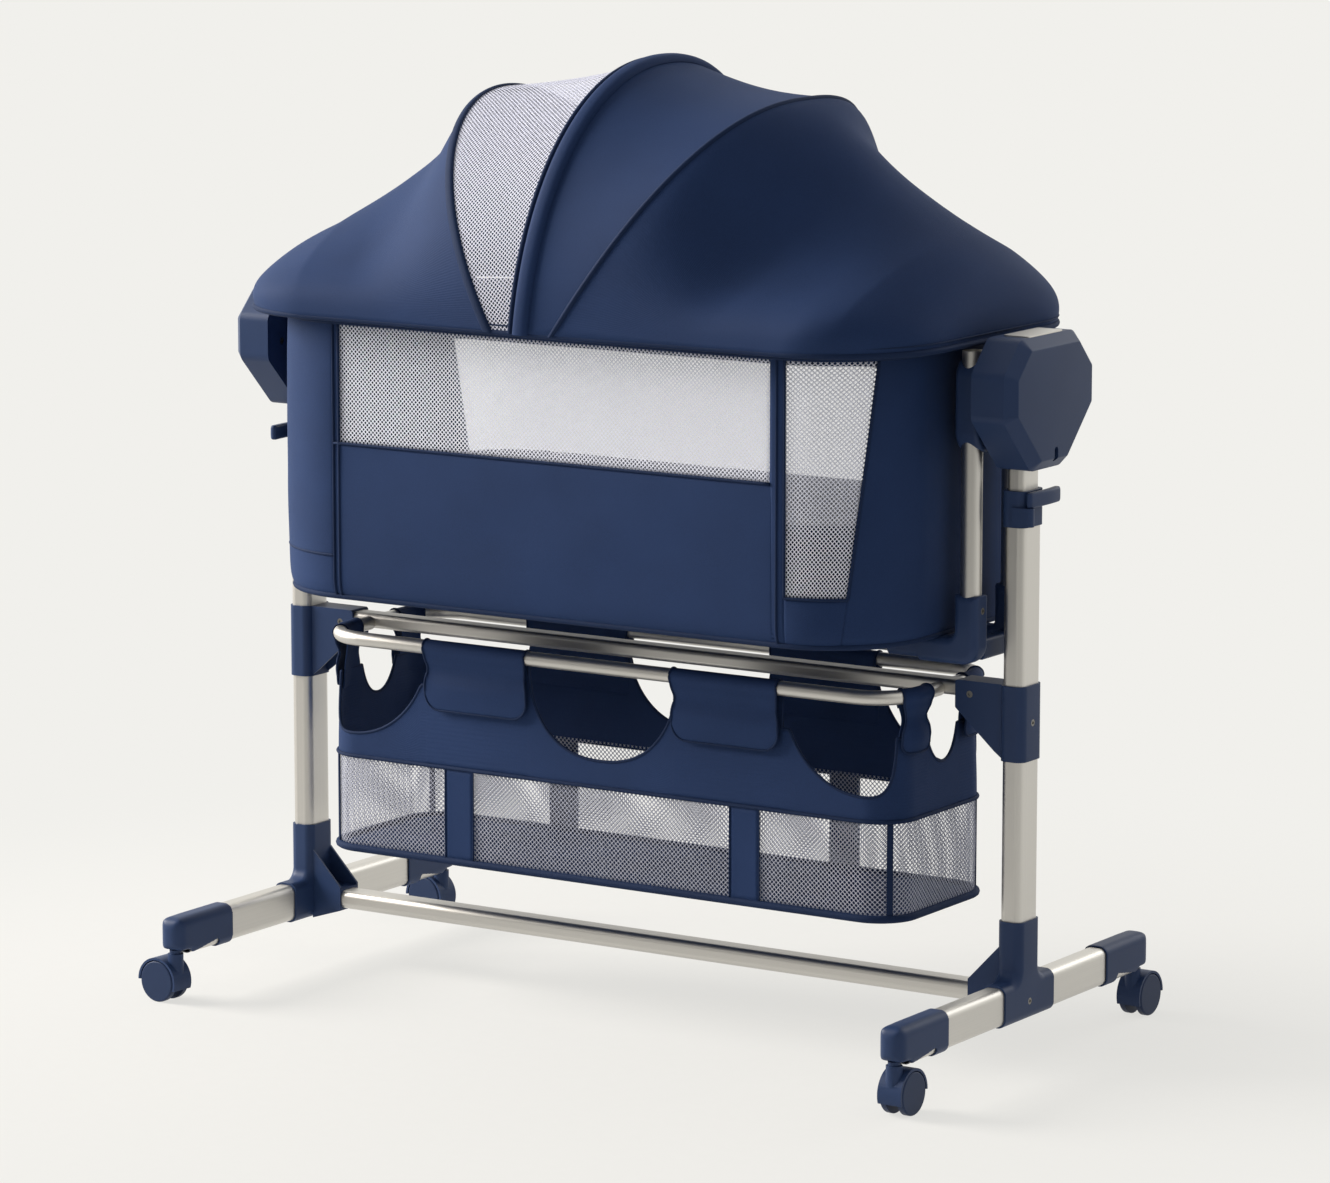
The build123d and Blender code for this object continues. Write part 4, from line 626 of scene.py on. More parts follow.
# distances round the body, from the middle of the front
PANEL_SEAM = 0.273
RIGHT_SEAM = 0.276
WINDOW_LEFT = -0.266
WINDOW_RIGHT = 0.268
CORNER_LEFT = 0.285
SLANT_LOW = 0.3505
SLANT_TOP = 0.3825
LOW_SEAM_END = -0.46
# heights of the windows, the seams and the lining
CORNER_BOTTOM = 0.502
WINDOW_BOTTOM = 0.617
WINDOW_TOP = 0.745
REAR_WINDOW_TOP = 0.686
LOW_SEAM = 0.497
TUB_TOP = 0.577
REAR_TUB_TOP = 0.553
# the wall draws in towards the bottom seam
BOTTOM_TUCK = 0.006
TUCK_REACH = 0.007
# the seams and the lining stop this far short of the body's edges
SEAM_END = 0.004
# layers, from the wall's own surface
SEAM_RAISE = 0.0004
WINDOW_INSET = 0.0012
LINING_INSET = 0.0042
FLOOR_RAISE = 0.0015


def body_surface(distance, z, puff=0.0):
    """Points on the body's wall at distances round it and heights, moved out by a puff."""
    tuck = BOTTOM_TUCK * np.exp(-(z - BODY_BOTTOM) / TUCK_REACH)
    return wall_points(distance, z, puff - tuck, BODY)


def slant(z):
    """Distance round the body of the corner window's slanted edge at a height."""
    t = (z - CORNER_BOTTOM) / (WINDOW_TOP - CORNER_BOTTOM)
    return SLANT_LOW + (SLANT_TOP - SLANT_LOW) * t


def rear_left(z):
    """The same edge's mirror image at the rear, on the side of the right-hand end."""
    return HALF_ROUND - slant(z)


def rear_right(z):
    """The rear window's other edge, on the side of the left-hand end."""
    return HALF_ROUND + slant(z)


def rear_right_back(z):
    """That edge, reached from the front round the left-hand end."""
    return slant(z) - HALF_ROUND


def body_patch(name, left, right, low, high, material, puff, steps, inset=0.0, wall=BODY_CLOTH):
    """One panel of the body between two edges, which are distances or functions of height.

    The puff lifts the middle of the panel by puff * sin(pi a)^0.6 * sin(pi b)^0.6, where a and b run 0
    to 1 across and up, with shallow folds that follow slow sines.
    """
    b, a = np.meshgrid(np.linspace(0, 1, steps[1]), np.linspace(0, 1, steps[0]), indexing="ij")
    z = low + (high - low) * b
    start, end = (edge(z) if callable(edge) else edge for edge in (left, right))
    distance = start + (end - start) * a
    arch_a, arch_b = np.sin(np.pi * a), np.sin(np.pi * b)
    folds = 0.15 * np.sin(distance * 37 + z * 12) * np.sin(z * 61 + distance * 9)
    lift = puff * (arch_a**0.6 * arch_b**0.6 + folds * arch_a * arch_b)
    points = body_surface(distance, z, lift - inset)
    panel = thicken(grid_mesh(name, points, material, "cradle"), wall)
    return cut_sheet(panel, points)


def make_body(finish):
    """The bassinet's fabric body: panels, windows, seams, piping, sleeve, floor and lining."""
    cloth, mesh, binding = finish["cloth"], finish["mesh"], finish["binding"]
    # each panel's edges, heights, puff and steps across and up
    panels = [
        ("front_drop_panel", -PANEL_SEAM, PANEL_SEAM, BODY_BOTTOM, WINDOW_BOTTOM, 0.0035, (120, 40)),
        ("front_seam_strip", WINDOW_RIGHT, CORNER_LEFT, BODY_BOTTOM, BODY_TOP, 0.0005, (6, 60)),
        ("front_window_side", -PANEL_SEAM, WINDOW_LEFT, WINDOW_BOTTOM, BODY_TOP, 0.0, (3, 30)),
        ("front_window_head", WINDOW_LEFT, WINDOW_RIGHT, WINDOW_TOP, BODY_TOP, 0.0003, (100, 4)),
        ("front_corner_foot", CORNER_LEFT, slant, BODY_BOTTOM, CORNER_BOTTOM, 0.002, (30, 14)),
        ("front_corner_head", CORNER_LEFT, slant, WINDOW_TOP, BODY_TOP, 0.0003, (30, 4)),
        ("left_end_panel", rear_right_back, -PANEL_SEAM, BODY_BOTTOM, BODY_TOP, 0.003, (110, 70)),
        ("right_end_panel", slant, rear_left, BODY_BOTTOM, BODY_TOP, 0.003, (110, 70)),
        ("rear_foot", rear_left, rear_right, BODY_BOTTOM, CORNER_BOTTOM, 0.0025, (120, 14)),
        ("rear_head", rear_left, rear_right, REAR_WINDOW_TOP, BODY_TOP, 0.001, (120, 10)),
    ]
    made = [
        body_patch(f"body_{name}", left, right, low, high, cloth, puff, steps)
        for name, left, right, low, high, puff, steps in panels
    ]
    rear_mesh = finish["rear_mesh"]
    windows = [
        ("front_window", WINDOW_LEFT, WINDOW_RIGHT, WINDOW_BOTTOM, WINDOW_TOP, mesh, (90, 24)),
        ("front_corner_window", CORNER_LEFT, slant, CORNER_BOTTOM, WINDOW_TOP, mesh, (24, 40)),
        ("rear_window", rear_left, rear_right, CORNER_BOTTOM, REAR_WINDOW_TOP, rear_mesh, (120, 40)),
    ]
    nets = [
        body_patch(f"body_{name}", left, right, low, high, net, 0.0, steps, WINDOW_INSET, MESH_THICKNESS)
        for name, left, right, low, high, net, steps in windows
    ]
    piping = bpy.context.scene.bassinet_sizes.piping
    made += [tube(f"body_{name}", path, piping, binding, "cradle", 8) for name, path in body_seams()]
    distance = round_outline(BODY, 420)
    for name, height, radius in (("bottom_piping", 0.0015, 0.0032), ("top_binding", 0.2945, 0.003)):
        path = body_surface(distance, BODY_BOTTOM + height)
        made.append(tube(f"body_{name}", path, radius, binding, "cradle", 10, closed=True))
    made += [rim_sleeve(cloth), body_floor(cloth), body_lining(finish["lining"])]
    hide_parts("bassinet_shell")
    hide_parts("bassinet_mesh")


def body_seams():
    """The stitched piping lines: each one's name and its path on the wall."""
    rear_low = HALF_ROUND - SLANT_LOW
    rear_low_far = HALF_ROUND + SLANT_LOW
    rear_top = rear_left(REAR_WINDOW_TOP)
    rear_top_far = rear_right(REAR_WINDOW_TOP)
    low, top = BODY_BOTTOM + SEAM_END, BODY_TOP - SEAM_END
    # each line's start and end, as a distance and a height, and its steps
    lines = [
        ("panel_top_piping", (-PANEL_SEAM, WINDOW_BOTTOM), (WINDOW_RIGHT, WINDOW_BOTTOM), 60),
        ("left_seam", (-PANEL_SEAM, low), (-PANEL_SEAM, top), 60),
        ("right_seam", (RIGHT_SEAM, low), (RIGHT_SEAM, top), 60),
        ("window_left_piping", (WINDOW_LEFT, low), (WINDOW_LEFT, WINDOW_TOP), 60),
        ("corner_left_piping", (CORNER_LEFT, CORNER_BOTTOM), (CORNER_LEFT, WINDOW_TOP), 60),
        ("corner_slant_piping", (SLANT_LOW, CORNER_BOTTOM), (SLANT_TOP, WINDOW_TOP), 60),
        ("corner_foot_piping", (CORNER_LEFT, CORNER_BOTTOM), (SLANT_LOW, CORNER_BOTTOM), 60),
        ("corner_low_seam", (LOW_SEAM_END, LOW_SEAM), (-PANEL_SEAM, LOW_SEAM), 60),
        ("rear_left_piping", (rear_low_far, CORNER_BOTTOM), (rear_top_far, REAR_WINDOW_TOP), 60),
        ("rear_right_piping", (rear_low, CORNER_BOTTOM), (rear_top, REAR_WINDOW_TOP), 60),
        ("rear_top_piping", (rear_top, REAR_WINDOW_TOP), (rear_top_far, REAR_WINDOW_TOP), 160),
        ("rear_foot_piping", (rear_low, CORNER_BOTTOM), (rear_low_far, CORNER_BOTTOM), 160),
    ]
    return [
        (name, body_surface(*np.linspace(start, end, steps).T, SEAM_RAISE))
        for name, start, end, steps in lines
    ]


def rim_sleeve(material):
    """The cloth sleeve that the rim's tube is sewn into."""
    inset = BODY_HALF_WIDTH - (RIM_HIGH.y - RIM_RADIUS)
    outline = (BODY_HALF_LENGTH - inset, BODY_HALF_WIDTH - inset, BODY_CORNER - inset)
    path = wall_points(round_outline(outline, 360), RIM_HIGH.z - RIM_RADIUS, 0.0, outline)
    return tube("body_rim_sleeve", path, RIM_RADIUS + 0.2 * MM, material, "cradle", 14, closed=True)


def shrinking_rings(rim, centre, steps):
    """A flat plate as rings that shrink from its rim to a thousandth of it round its centre."""
    return centre + (rim - centre) * np.linspace(1, 0.001, steps)[:, None, None]


def body_floor(material):
    """The cloth floor, a rounded plate under the mattress board."""
    height = BODY_BOTTOM + FLOOR_RAISE
    points = shrinking_rings(body_surface(round_outline(BODY, 240), height), [0, 0, height], 12)
    return flip(grid_mesh("body_floor", points, material, "cradle", closed_u=True))


def body_lining(material):
    """The lining: a tub wall about as high as the mattress all round, and higher at the two ends."""
    distance = round_outline(BODY, 420)
    # the left end runs from the rear window's edge to the front seam, the right end between the slants
    from_front = np.mod(distance + HALF_ROUND, 2 * HALF_ROUND) - HALF_ROUND
    left_end = (from_front < -PANEL_SEAM) & (from_front > SLANT_TOP - HALF_ROUND)
    right_end = (from_front > SLANT_TOP) & (from_front < HALF_ROUND - SLANT_TOP)
    tub_top = np.where(np.abs(from_front) < SLANT_TOP, TUB_TOP, REAR_TUB_TOP)
    top = np.where(left_end | right_end, BODY_TOP - SEAM_END, tub_top)
    low = BODY_BOTTOM + 0.008
    z = low + (top - low) * np.linspace(0, 1, 40)[:, None]
    points = body_surface(distance, z, -LINING_INSET)
    return thicken(grid_mesh("body_lining", points, material, "cradle", closed_u=True), 0.0012)


# ---------------------------------------------------------------- storage basket
BASKET = (FLOOR_HIGH.x, FLOOR_HIGH.y, 0.042)
BASKET_BOTTOM = FLOOR_LOW.z
BASKET_CLOTH = 0.0016
RING_Z = (RING_LOW.z + RING_HIGH.z) / 2
RING_RADIUS = (RING_HIGH.z - RING_LOW.z) / 2
RING = (FLOOR_HIGH.x, FLOOR_HIGH.y, 0.05)
QUARTER = outline_length(*BASKET) / 4
# heights on the wall
BAND_BOTTOM = 0.260
SCALLOP_LOW = 0.288
END_SCALLOP_LOW = 0.311
FLAP_BOTTOM = 0.322
LOOP_BOTTOM = 0.33
LOOP_SEAM = 0.346
# distances round the wall, from the middle of a long side
STRAP = 0.18
STRAP_HALF = 0.018
FLAP_CENTRE = 0.158
FLAP_HALF = 0.065
FLAP_INNER = FLAP_CENTRE - FLAP_HALF
FLAP_OUTER = FLAP_CENTRE + FLAP_HALF
CORNER_TAPE = 0.351
TAPE_HALF = 0.0032
CORNER_POST = 0.360
# distances from the middle of an end
LOOP_INNER = 0.037
LOOP_OUTER = 0.078
# the wall leans in towards the ring, and the net bellies out between its straps and tapes
BAND_LEAN = 0.004
NET_BELLY = 0.0028
NET_INSET = 0.0014
STRAP_RAISE = 0.0009
# where the corner scallop is lowest, as a share of the way from the flap to the corner post
CORNER_LOW_SHARE = 0.72
# a flap's neck below the ring, and the reaches of its waist and its swell
NECK = RING_Z - 0.024
WAIST_REACH = 0.012
FLAP_SWELL = 0.0022
SWELL_DROP = 0.018
FLAP_SWELL_REACH = 0.011


def basket_wall(distance, z, out=0.0):
    """Points on the basket's wall, which leans in from the band's lower edge up to the ring."""
    lean = BAND_LEAN * smoothstep((z - BAND_BOTTOM) / (RING_Z - BAND_BOTTOM))
    return wall_points(distance, z, out - lean, BASKET)


def arc_dip(a, centre, half, depth, power):
    """How far a scallop dips at a distance: depth * (1 - abs((a - centre) / half)^p)^(1/p), else 0."""
    t = np.clip(np.abs((a - centre) / half), 0, 1)
    return depth * (1 - t**power) ** (1 / power)


def from_long_side(distance):
    """The distance round the wall from the nearer middle of a long side."""
    return QUARTER - np.abs(np.mod(distance, 2 * QUARTER) - QUARTER)


def band_top(distance):
    """Height of the band's upper edge: scallops between the flaps, at the corners and at each end."""
    a = from_long_side(distance)
    # the corner scallop falls slowly from the flap and rises steeply at the corner post
    low = FLAP_OUTER + CORNER_LOW_SHARE * (CORNER_POST - FLAP_OUTER)
    corner_depth = RING_Z - SCALLOP_LOW + 3 * MM
    slow = arc_dip(a, low, low - FLAP_OUTER, corner_depth, 2.0) * (a <= low)
    steep = arc_dip(a, low, CORNER_POST - low, corner_depth, 3.4) * (a > low)
    middle = arc_dip(a, 0.0, FLAP_INNER, RING_Z - SCALLOP_LOW, 2.3)
    end = arc_dip(a, QUARTER, LOOP_INNER, RING_Z - END_SCALLOP_LOW, 2.2)
    top = RING_Z - middle - slow - steep - end
    # the corner posts stop short of the ring, where the loops are sewn on
    return np.where(a > FLAP_OUTER, np.minimum(top, LOOP_SEAM), top)


def scalloped_edges():
    """The distances where the band's grid has lines, closer together where its upper edge turns."""
    start, post, end = FLAP_OUTER, CORNER_POST, QUARTER - LOOP_INNER
    quarter_round = np.concatenate(
        [
            FLAP_INNER * np.sin(np.linspace(0, np.pi / 2, 34)),
            np.linspace(FLAP_INNER, start, 14)[1:],
            start + (post - start) * (1 - np.cos(np.linspace(0, np.pi, 46)))[1:] / 2,
            np.linspace(post, end, 12)[1:],
            QUARTER - LOOP_INNER * np.cos(np.linspace(0, np.pi / 2, 26))[1:],
        ]
    )
    half_round = np.concatenate([quarter_round, (2 * QUARTER - quarter_round[::-1])[1:]])
    return np.concatenate([half_round, half_round[1:-1] + 2 * QUARTER])


def ring_wrap(name, middle, half, profile, waist, material):
    """Cloth folded over the ring, either side of a middle distance round it; the profile is (outward,
    height) pairs.

    Below the ring its half width is half * (1 - waist * exp(-((z - neck) / 12 mm)^2)), and its lower
    corners are rounded: near each side the hem rises by corner - sqrt(corner^2 - reach^2). The outer
    layer swells a little below the neck, most in its middle.
    """
    out, height = profile.T
    outer = np.arange(len(height)) > np.argmax(height)
    u = np.sin(np.linspace(-np.pi / 2, np.pi / 2, 30))
    width = half * (1 - waist * hump(height - NECK, WAIST_REACH) * (height < RING_Z))
    corner = min(0.018, half * 0.45)
    reach = np.maximum(0, np.abs(u) * half - (half - corner))
    hem_rise = corner - np.sqrt(np.maximum(corner**2 - reach**2, 0))
    share = np.clip((height.max() - height) / (height.max() - height[-1]), 0, 1) ** 3 * outer
    swell = FLAP_SWELL * hump(height - NECK + SWELL_DROP, FLAP_SWELL_REACH) * outer
    push = out[:, None] + swell[:, None] * (1 - u**2)
    z = height[:, None] + share[:, None] * hem_rise
    points = wall_points(middle + u * width[:, None], z, push, RING)
    flap = thicken(grid_mesh(name, points, material, "base"), BASKET_CLOTH, 1.0)
    return cut_sheet(flap, points), points


def fold_profile(hem):
    """The section of a flap: up the ring's inner side, round its top as an arc, and down to the hem."""
    radius = RING_RADIUS + 1 * MM
    turn = np.linspace(np.pi, -0.25 * np.pi, 22)
    crease = (hem + RING_Z) / 2 - 4 * MM
    inner = [(-0.0035, hem - 0.004), (-0.006, RING_Z - 0.03), (-radius, RING_Z - 0.008)]
    over = np.stack([radius * np.cos(turn), RING_Z + radius * np.sin(turn)], -1)
    outer = [(0.0058, RING_Z - 0.0115), (0.0026, RING_Z - 0.02), (0.0022, RING_Z - 0.026)]
    low = [(0.0042, crease), (0.0046, hem + 0.012), (0.0036, hem)]
    return smooth_profile(np.concatenate([inner, over, outer, low]), 64)


def smooth_profile(pairs, count):
    """The pairs resampled evenly along their length, with each corner rounded by a short average."""
    run = np.concatenate([[0], np.cumsum(np.linalg.norm(np.diff(pairs, axis=0), axis=1))])
    even = np.linspace(0, run[-1], count)
    line = np.stack([np.interp(even, run, pairs[:, k]) for k in (0, 1)], -1)
    rounded = line.copy()
    rounded[1:-1] = (line[:-2] + 2 * line[1:-1] + line[2:]) / 4
    return rounded


def ring_cover(name, middle, half, hem, waist, cloth, binding):
    """A flap or loop folded over the ring, with a bound edge down both sides and along its hem."""
    # the ring's corners are wider than the basket's, so distances round it are a little shorter
    scale = outline_length(*RING) / outline_length(*BASKET)
    profile = fold_profile(hem)
    flap, points = ring_wrap(name, middle * scale, half, profile, waist, cloth)
    top = len(profile) // 3
    edge_line = np.concatenate([points[top:, 0], points[-1, 1:-1], points[top:, -1][::-1]])
    return [flap, tube(f"{name}_binding", edge_line, 0.0013, binding, "base", 6, up=(0.13, 0.17, 1.0))]


def wall_strip(name, middle, half, columns, heights, material):
    """An upright strip of cloth, sewn to the net either side of a middle distance."""
    z, distance = np.meshgrid(heights, np.linspace(middle - half, middle + half, columns), indexing="ij")
    strip = grid_mesh(name, basket_wall(distance, z, STRAP_RAISE), material, "base")
    return thicken(strip, BASKET_CLOTH)


def basket_quarter(label, side, direction, cloth, binding):
    """What is sewn to a quarter of the basket: a strap, a corner tape, a flap and an end loop."""
    heights = np.linspace(BASKET_BOTTOM + 3 * MM, BAND_BOTTOM + 2 * MM, 12)
    strap, tape = side + direction * STRAP, side + direction * CORNER_TAPE
    made = [
        wall_strip(f"basket_strap_{label}", strap, STRAP_HALF, 8, heights, cloth),
        wall_strip(f"basket_corner_tape_{label}", tape, TAPE_HALF, 5, heights, binding),
    ]
    for k, shift in enumerate((-STRAP_HALF, STRAP_HALF)):
        path = basket_wall(strap + shift, heights, 1.2 * MM)
        made.append(tube(f"basket_strap_edge_{label}_{k}", path, 0.0008, binding, "base", 6))
    flap = side + direction * FLAP_CENTRE
    loop = side + direction * (QUARTER - (LOOP_INNER + LOOP_OUTER) / 2)
    loop_half = (LOOP_OUTER - LOOP_INNER) / 2
    made += ring_cover(f"basket_flap_{label}", flap, FLAP_HALF, FLAP_BOTTOM, 0.045, cloth, binding)
    made += ring_cover(f"basket_loop_{label}", loop, loop_half, LOOP_BOTTOM, 0.24, cloth, binding)
    return made


def make_basket(finish):
    """The basket: base, net, scalloped band, and the straps, tapes, flaps, loops and bindings on them."""
    cloth, binding = finish["cloth"], finish["binding"]
    around = scalloped_edges()
    band_low = BAND_BOTTOM - 1 * MM
    z = band_low + (band_top(around) - band_low) * np.linspace(0, 1, 22)[:, None]
    points = basket_wall(around, z)
    band = thicken(grid_mesh("basket_cloth_band", points, cloth, "base", closed_u=True), 0.0018)
    cut_sheet(band, points, closed=True)
    even = round_outline(BASKET, 400)
    # the net bellies out between the straps and the corner tapes, and is held flat by them
    a = from_long_side(even)
    loose = np.clip(1 - hump(a - STRAP, 0.035) - hump(a - CORNER_TAPE, 0.03), 0, 1)
    up = np.linspace(0, 1, 14)[:, None]
    z = BASKET_BOTTOM + 4 * MM + (BAND_BOTTOM - BASKET_BOTTOM - 1 * MM) * up
    points = basket_wall(even, z, NET_BELLY * np.sin(np.pi * up) * loose - NET_INSET)
    net = grid_mesh("basket_net", points, finish["basket_mesh"], "base", closed_u=True)
    cut_sheet(thicken(net, MESH_THICKNESS), points, closed=True)
    rim = basket_wall(even, BASKET_BOTTOM + 4 * MM)
    points = shrinking_rings(rim, [0, 0, BASKET_BOTTOM + 4.5 * MM], 16)
    base = thicken(grid_mesh("basket_base", points, finish["base_cloth"], "base", closed_u=True), 0.003)
    made = [band, base]
    bindings = [
        ("bottom_piping", basket_wall(even, BASKET_BOTTOM + 4.2 * MM), 0.0041, 10),
        ("band_piping", basket_wall(even, BAND_BOTTOM, 0.5 * MM), 0.0022, 8),
        ("edge_binding", basket_wall(around, band_top(around), -0.6 * MM), 0.0017, 8),
    ]
    for name, path, radius, sides in bindings:
        made.append(tube(f"basket_{name}", path, radius, binding, "base", sides, closed=True))
    for name, side in (("front", 0), ("rear", 2 * QUARTER)):
        for letter, direction in (("a", -1), ("b", 1)):
            made += basket_quarter(f"{name}_{letter}", side, direction, cloth, binding)
    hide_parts("basket_band")
    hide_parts("basket_mesh")
    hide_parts("basket_floor")


# ---------------------------------------------------------------- mattress
MATTRESS_INSET = 0.006
MATTRESS_CORNER = 0.09
# room for the swelling at the top and bottom
MATTRESS_ROOM = 0.005
SWELL_VOXEL = 0.005
SWELL_LIMIT = 0.006
SWELL_FRAMES = 20
# the edges' piping, as a share of the way from the middle to the top
PIPING_SHARE = 0.72


def make_mattress(finish):
    """The mattress: a crowned pad under a knitted cover, swollen by cloth simulation, with piped edges.

    Its section is the superellipse abs(r)^8 + abs(h)^3.2 = 1, from the rim at r = 1 to the middle.
    """
    low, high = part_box("mattress")
    outline = (high.x - MATTRESS_INSET, high.y - MATTRESS_INSET, MATTRESS_CORNER)
    distance = round_outline(outline, 220)
    middle_z = (low.z + high.z) / 2
    half_z = (high.z - low.z) / 2 - MATTRESS_ROOM
    turn = np.linspace(-np.pi / 2, np.pi / 2, 41)
    draw = np.maximum(np.abs(np.cos(turn)) ** (2 / 8), 0.001)
    height = np.sign(np.sin(turn)) * np.abs(np.sin(turn)) ** (2 / 3.2)
    points = wall_points(distance, 0.0, 0.0, outline) * draw[:, None, None]
    points[..., 2] = middle_z + half_z * height[:, None]
    pad = grid_mesh("mattress_pad", points, finish["mattress"], "cradle", closed_u=True)
    close_poles(pad)
    swell(pad, SWELL_VOXEL, SWELL_LIMIT)
    for name, share in (("top", PIPING_SHARE), ("low", -PIPING_SHARE)):
        path = wall_points(distance, middle_z + half_z * share, 3.5 * MM, outline)
        piping = finish["piping"]
        tube(f"mattress_{name}_piping", path, 0.0026, piping, "cradle", 8, closed=True)
    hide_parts("mattress")


def close_poles(piece):
    """Merges the tiny rings at the two poles of a closed form, and points its faces outwards."""
    with opened(piece) as shape:
        bmesh.ops.remove_doubles(shape, verts=shape.verts, dist=0.8 * MM)
        holes = [edge for edge in shape.edges if edge.is_boundary]
        if holes:
            bmesh.ops.holes_fill(shape, edges=holes, sides=0)
        bmesh.ops.recalc_face_normals(shape, faces=shape.faces)
    piece.data.shade_smooth()


def add_modifier(piece, name, kind, **settings):
    """Adds a modifier with its settings."""
    made = piece.modifiers.new(name, kind)
    for setting, value in settings.items():
        setattr(made, setting, value)
    return made


def apply_modifiers(piece):
    """Replaces a piece's mesh by what its modifiers make of it."""
    graph = bpy.context.evaluated_depsgraph_get()
    made = bpy.data.meshes.new_from_object(piece.evaluated_get(graph))
    piece.modifiers.clear()
    piece.data = made


def vertex_places(piece):
    """A piece's vertices, as an array of points."""
    places = np.empty(len(piece.data.vertices) * 3)
    piece.data.vertices.foreach_get("co", places)
    return places.reshape(-1, 3)


def swell(piece, voxel, limit):
    """Swells a pad: remeshed evenly, then blown up as cloth, each point moved no further than limit."""
    scene = bpy.context.scene
    bpy.context.view_layer.objects.active = piece
    add_modifier(piece, "Even", "REMESH", mode="VOXEL", voxel_size=voxel)
    apply_modifiers(piece)
    start = vertex_places(piece)
    cloth = add_modifier(piece, "Swell", "CLOTH")
    cloth.settings.quality = 4
    cloth.settings.use_pressure = True
    cloth.settings.uniform_pressure_force = 4.0
    cloth.settings.effector_weights.gravity = 0.0
    cloth.point_cache.frame_start = 1
    cloth.point_cache.frame_end = SWELL_FRAMES
    for moment in range(1, SWELL_FRAMES + 1):
        scene.frame_set(moment)
    apply_modifiers(piece)
    scene.frame_set(1)
    moved = vertex_places(piece) - start
    length = np.linalg.norm(moved, axis=1, keepdims=True)
    moved *= np.minimum(1, limit / np.maximum(length, 1e-9))
    piece.data.vertices.foreach_set("co", (start + moved).ravel())
    piece.data.update()
    piece.data.shade_smooth()


# ---------------------------------------------------------------- frame finishes
# a kept part's finish goes by its slot, except for some tubes and the wheels
SLOT_FINISHES = {
    "silver_tube": "tube_z", "navy_plastic": "plastic", "dark_plastic": "dark_plastic",
    "screw_steel": "screw", "bow_steel": "bow", "board": "board",
}
PART_FINISHES = {
    "tube_x": ["crossbar", "mid_rail", "bed_rails", "basket_ring", "rim_frame"],
    "tube_y": ["foot_tube_left", "foot_tube_right", "hub_top_plates"],
    "wheel": [f"caster_wheels_{end}_{side}" for end in ("front", "rear") for side in ("left", "right")],
}
# edges that turn by more than this are rounded
SHARP = np.radians(32)
# loose triangles are merged at this distance
MERGE = 0.02 * MM
# the foot caps are rounded beyond this distance from the middle, fully after the second
NOSE_START = 0.228
NOSE_LENGTH = 0.02
NOSE_VOXEL = 0.0011
# the height levers' hinge pins and the lower edge of their bars
LEVER_X = 0.468
LEVER_BOTTOM = 0.5861
LEVER_BOW = 0.002


def soft_edged(part, finish, width):
    """A copy of a moulded part, its loose triangles merged, its flat faces joined, its edges rounded."""
    source = bpy.data.objects[part]
    shape = bmesh.new()
    shape.from_mesh(source.data)
    bmesh.ops.remove_doubles(shape, verts=shape.verts, dist=MERGE)
    bmesh.ops.dissolve_degenerate(shape, edges=shape.edges, dist=MERGE)
    bmesh.ops.dissolve_limit(shape, angle_limit=0.01, verts=shape.verts, edges=shape.edges)
    shape.verts.index_update()
    points = [vert.co[:] for vert in shape.verts]
    faces = [[vert.index for vert in face.verts] for face in shape.faces]
    shape.free()
    mesh = bpy.data.meshes.new(f"{part}_moulding")
    mesh.from_pydata(points, [], faces)
    mesh.shade_smooth()
    mesh.set_sharp_from_angle(angle=SHARP)
    mesh.materials.append(finish)
    made = add_object(mesh.name, mesh)
    add_modifier(
        made, "Rounding", "BEVEL", width=width, segments=2, limit_method="ANGLE", angle_limit=SHARP,
        harden_normals=True,
    )
    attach(made, source["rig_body"])
    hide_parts(part)
    return made


def rounded_nose(piece):
    """Remeshes the foot caps evenly, and smooths their ends until they are fully rounded."""
    piece.modifiers.clear()
    add_modifier(piece, "Even", "REMESH", mode="VOXEL", voxel_size=NOSE_VOXEL)
    apply_modifiers(piece)
    share = smoothstep((np.abs(vertex_places(piece)[:, 1]) - NOSE_START) / NOSE_LENGTH)
    steps = np.round(share * 10).astype(int)
    nose = piece.vertex_groups.new(name="nose")
    for step in range(11):
        nose.add(np.nonzero(steps == step)[0].tolist(), step / 10, "REPLACE")
    add_modifier(piece, "All", "SMOOTH", factor=0.5, iterations=3)
    add_modifier(piece, "Nose", "SMOOTH", factor=0.5, iterations=60, vertex_group="nose")
    apply_modifiers(piece)
    piece.data.shade_smooth()


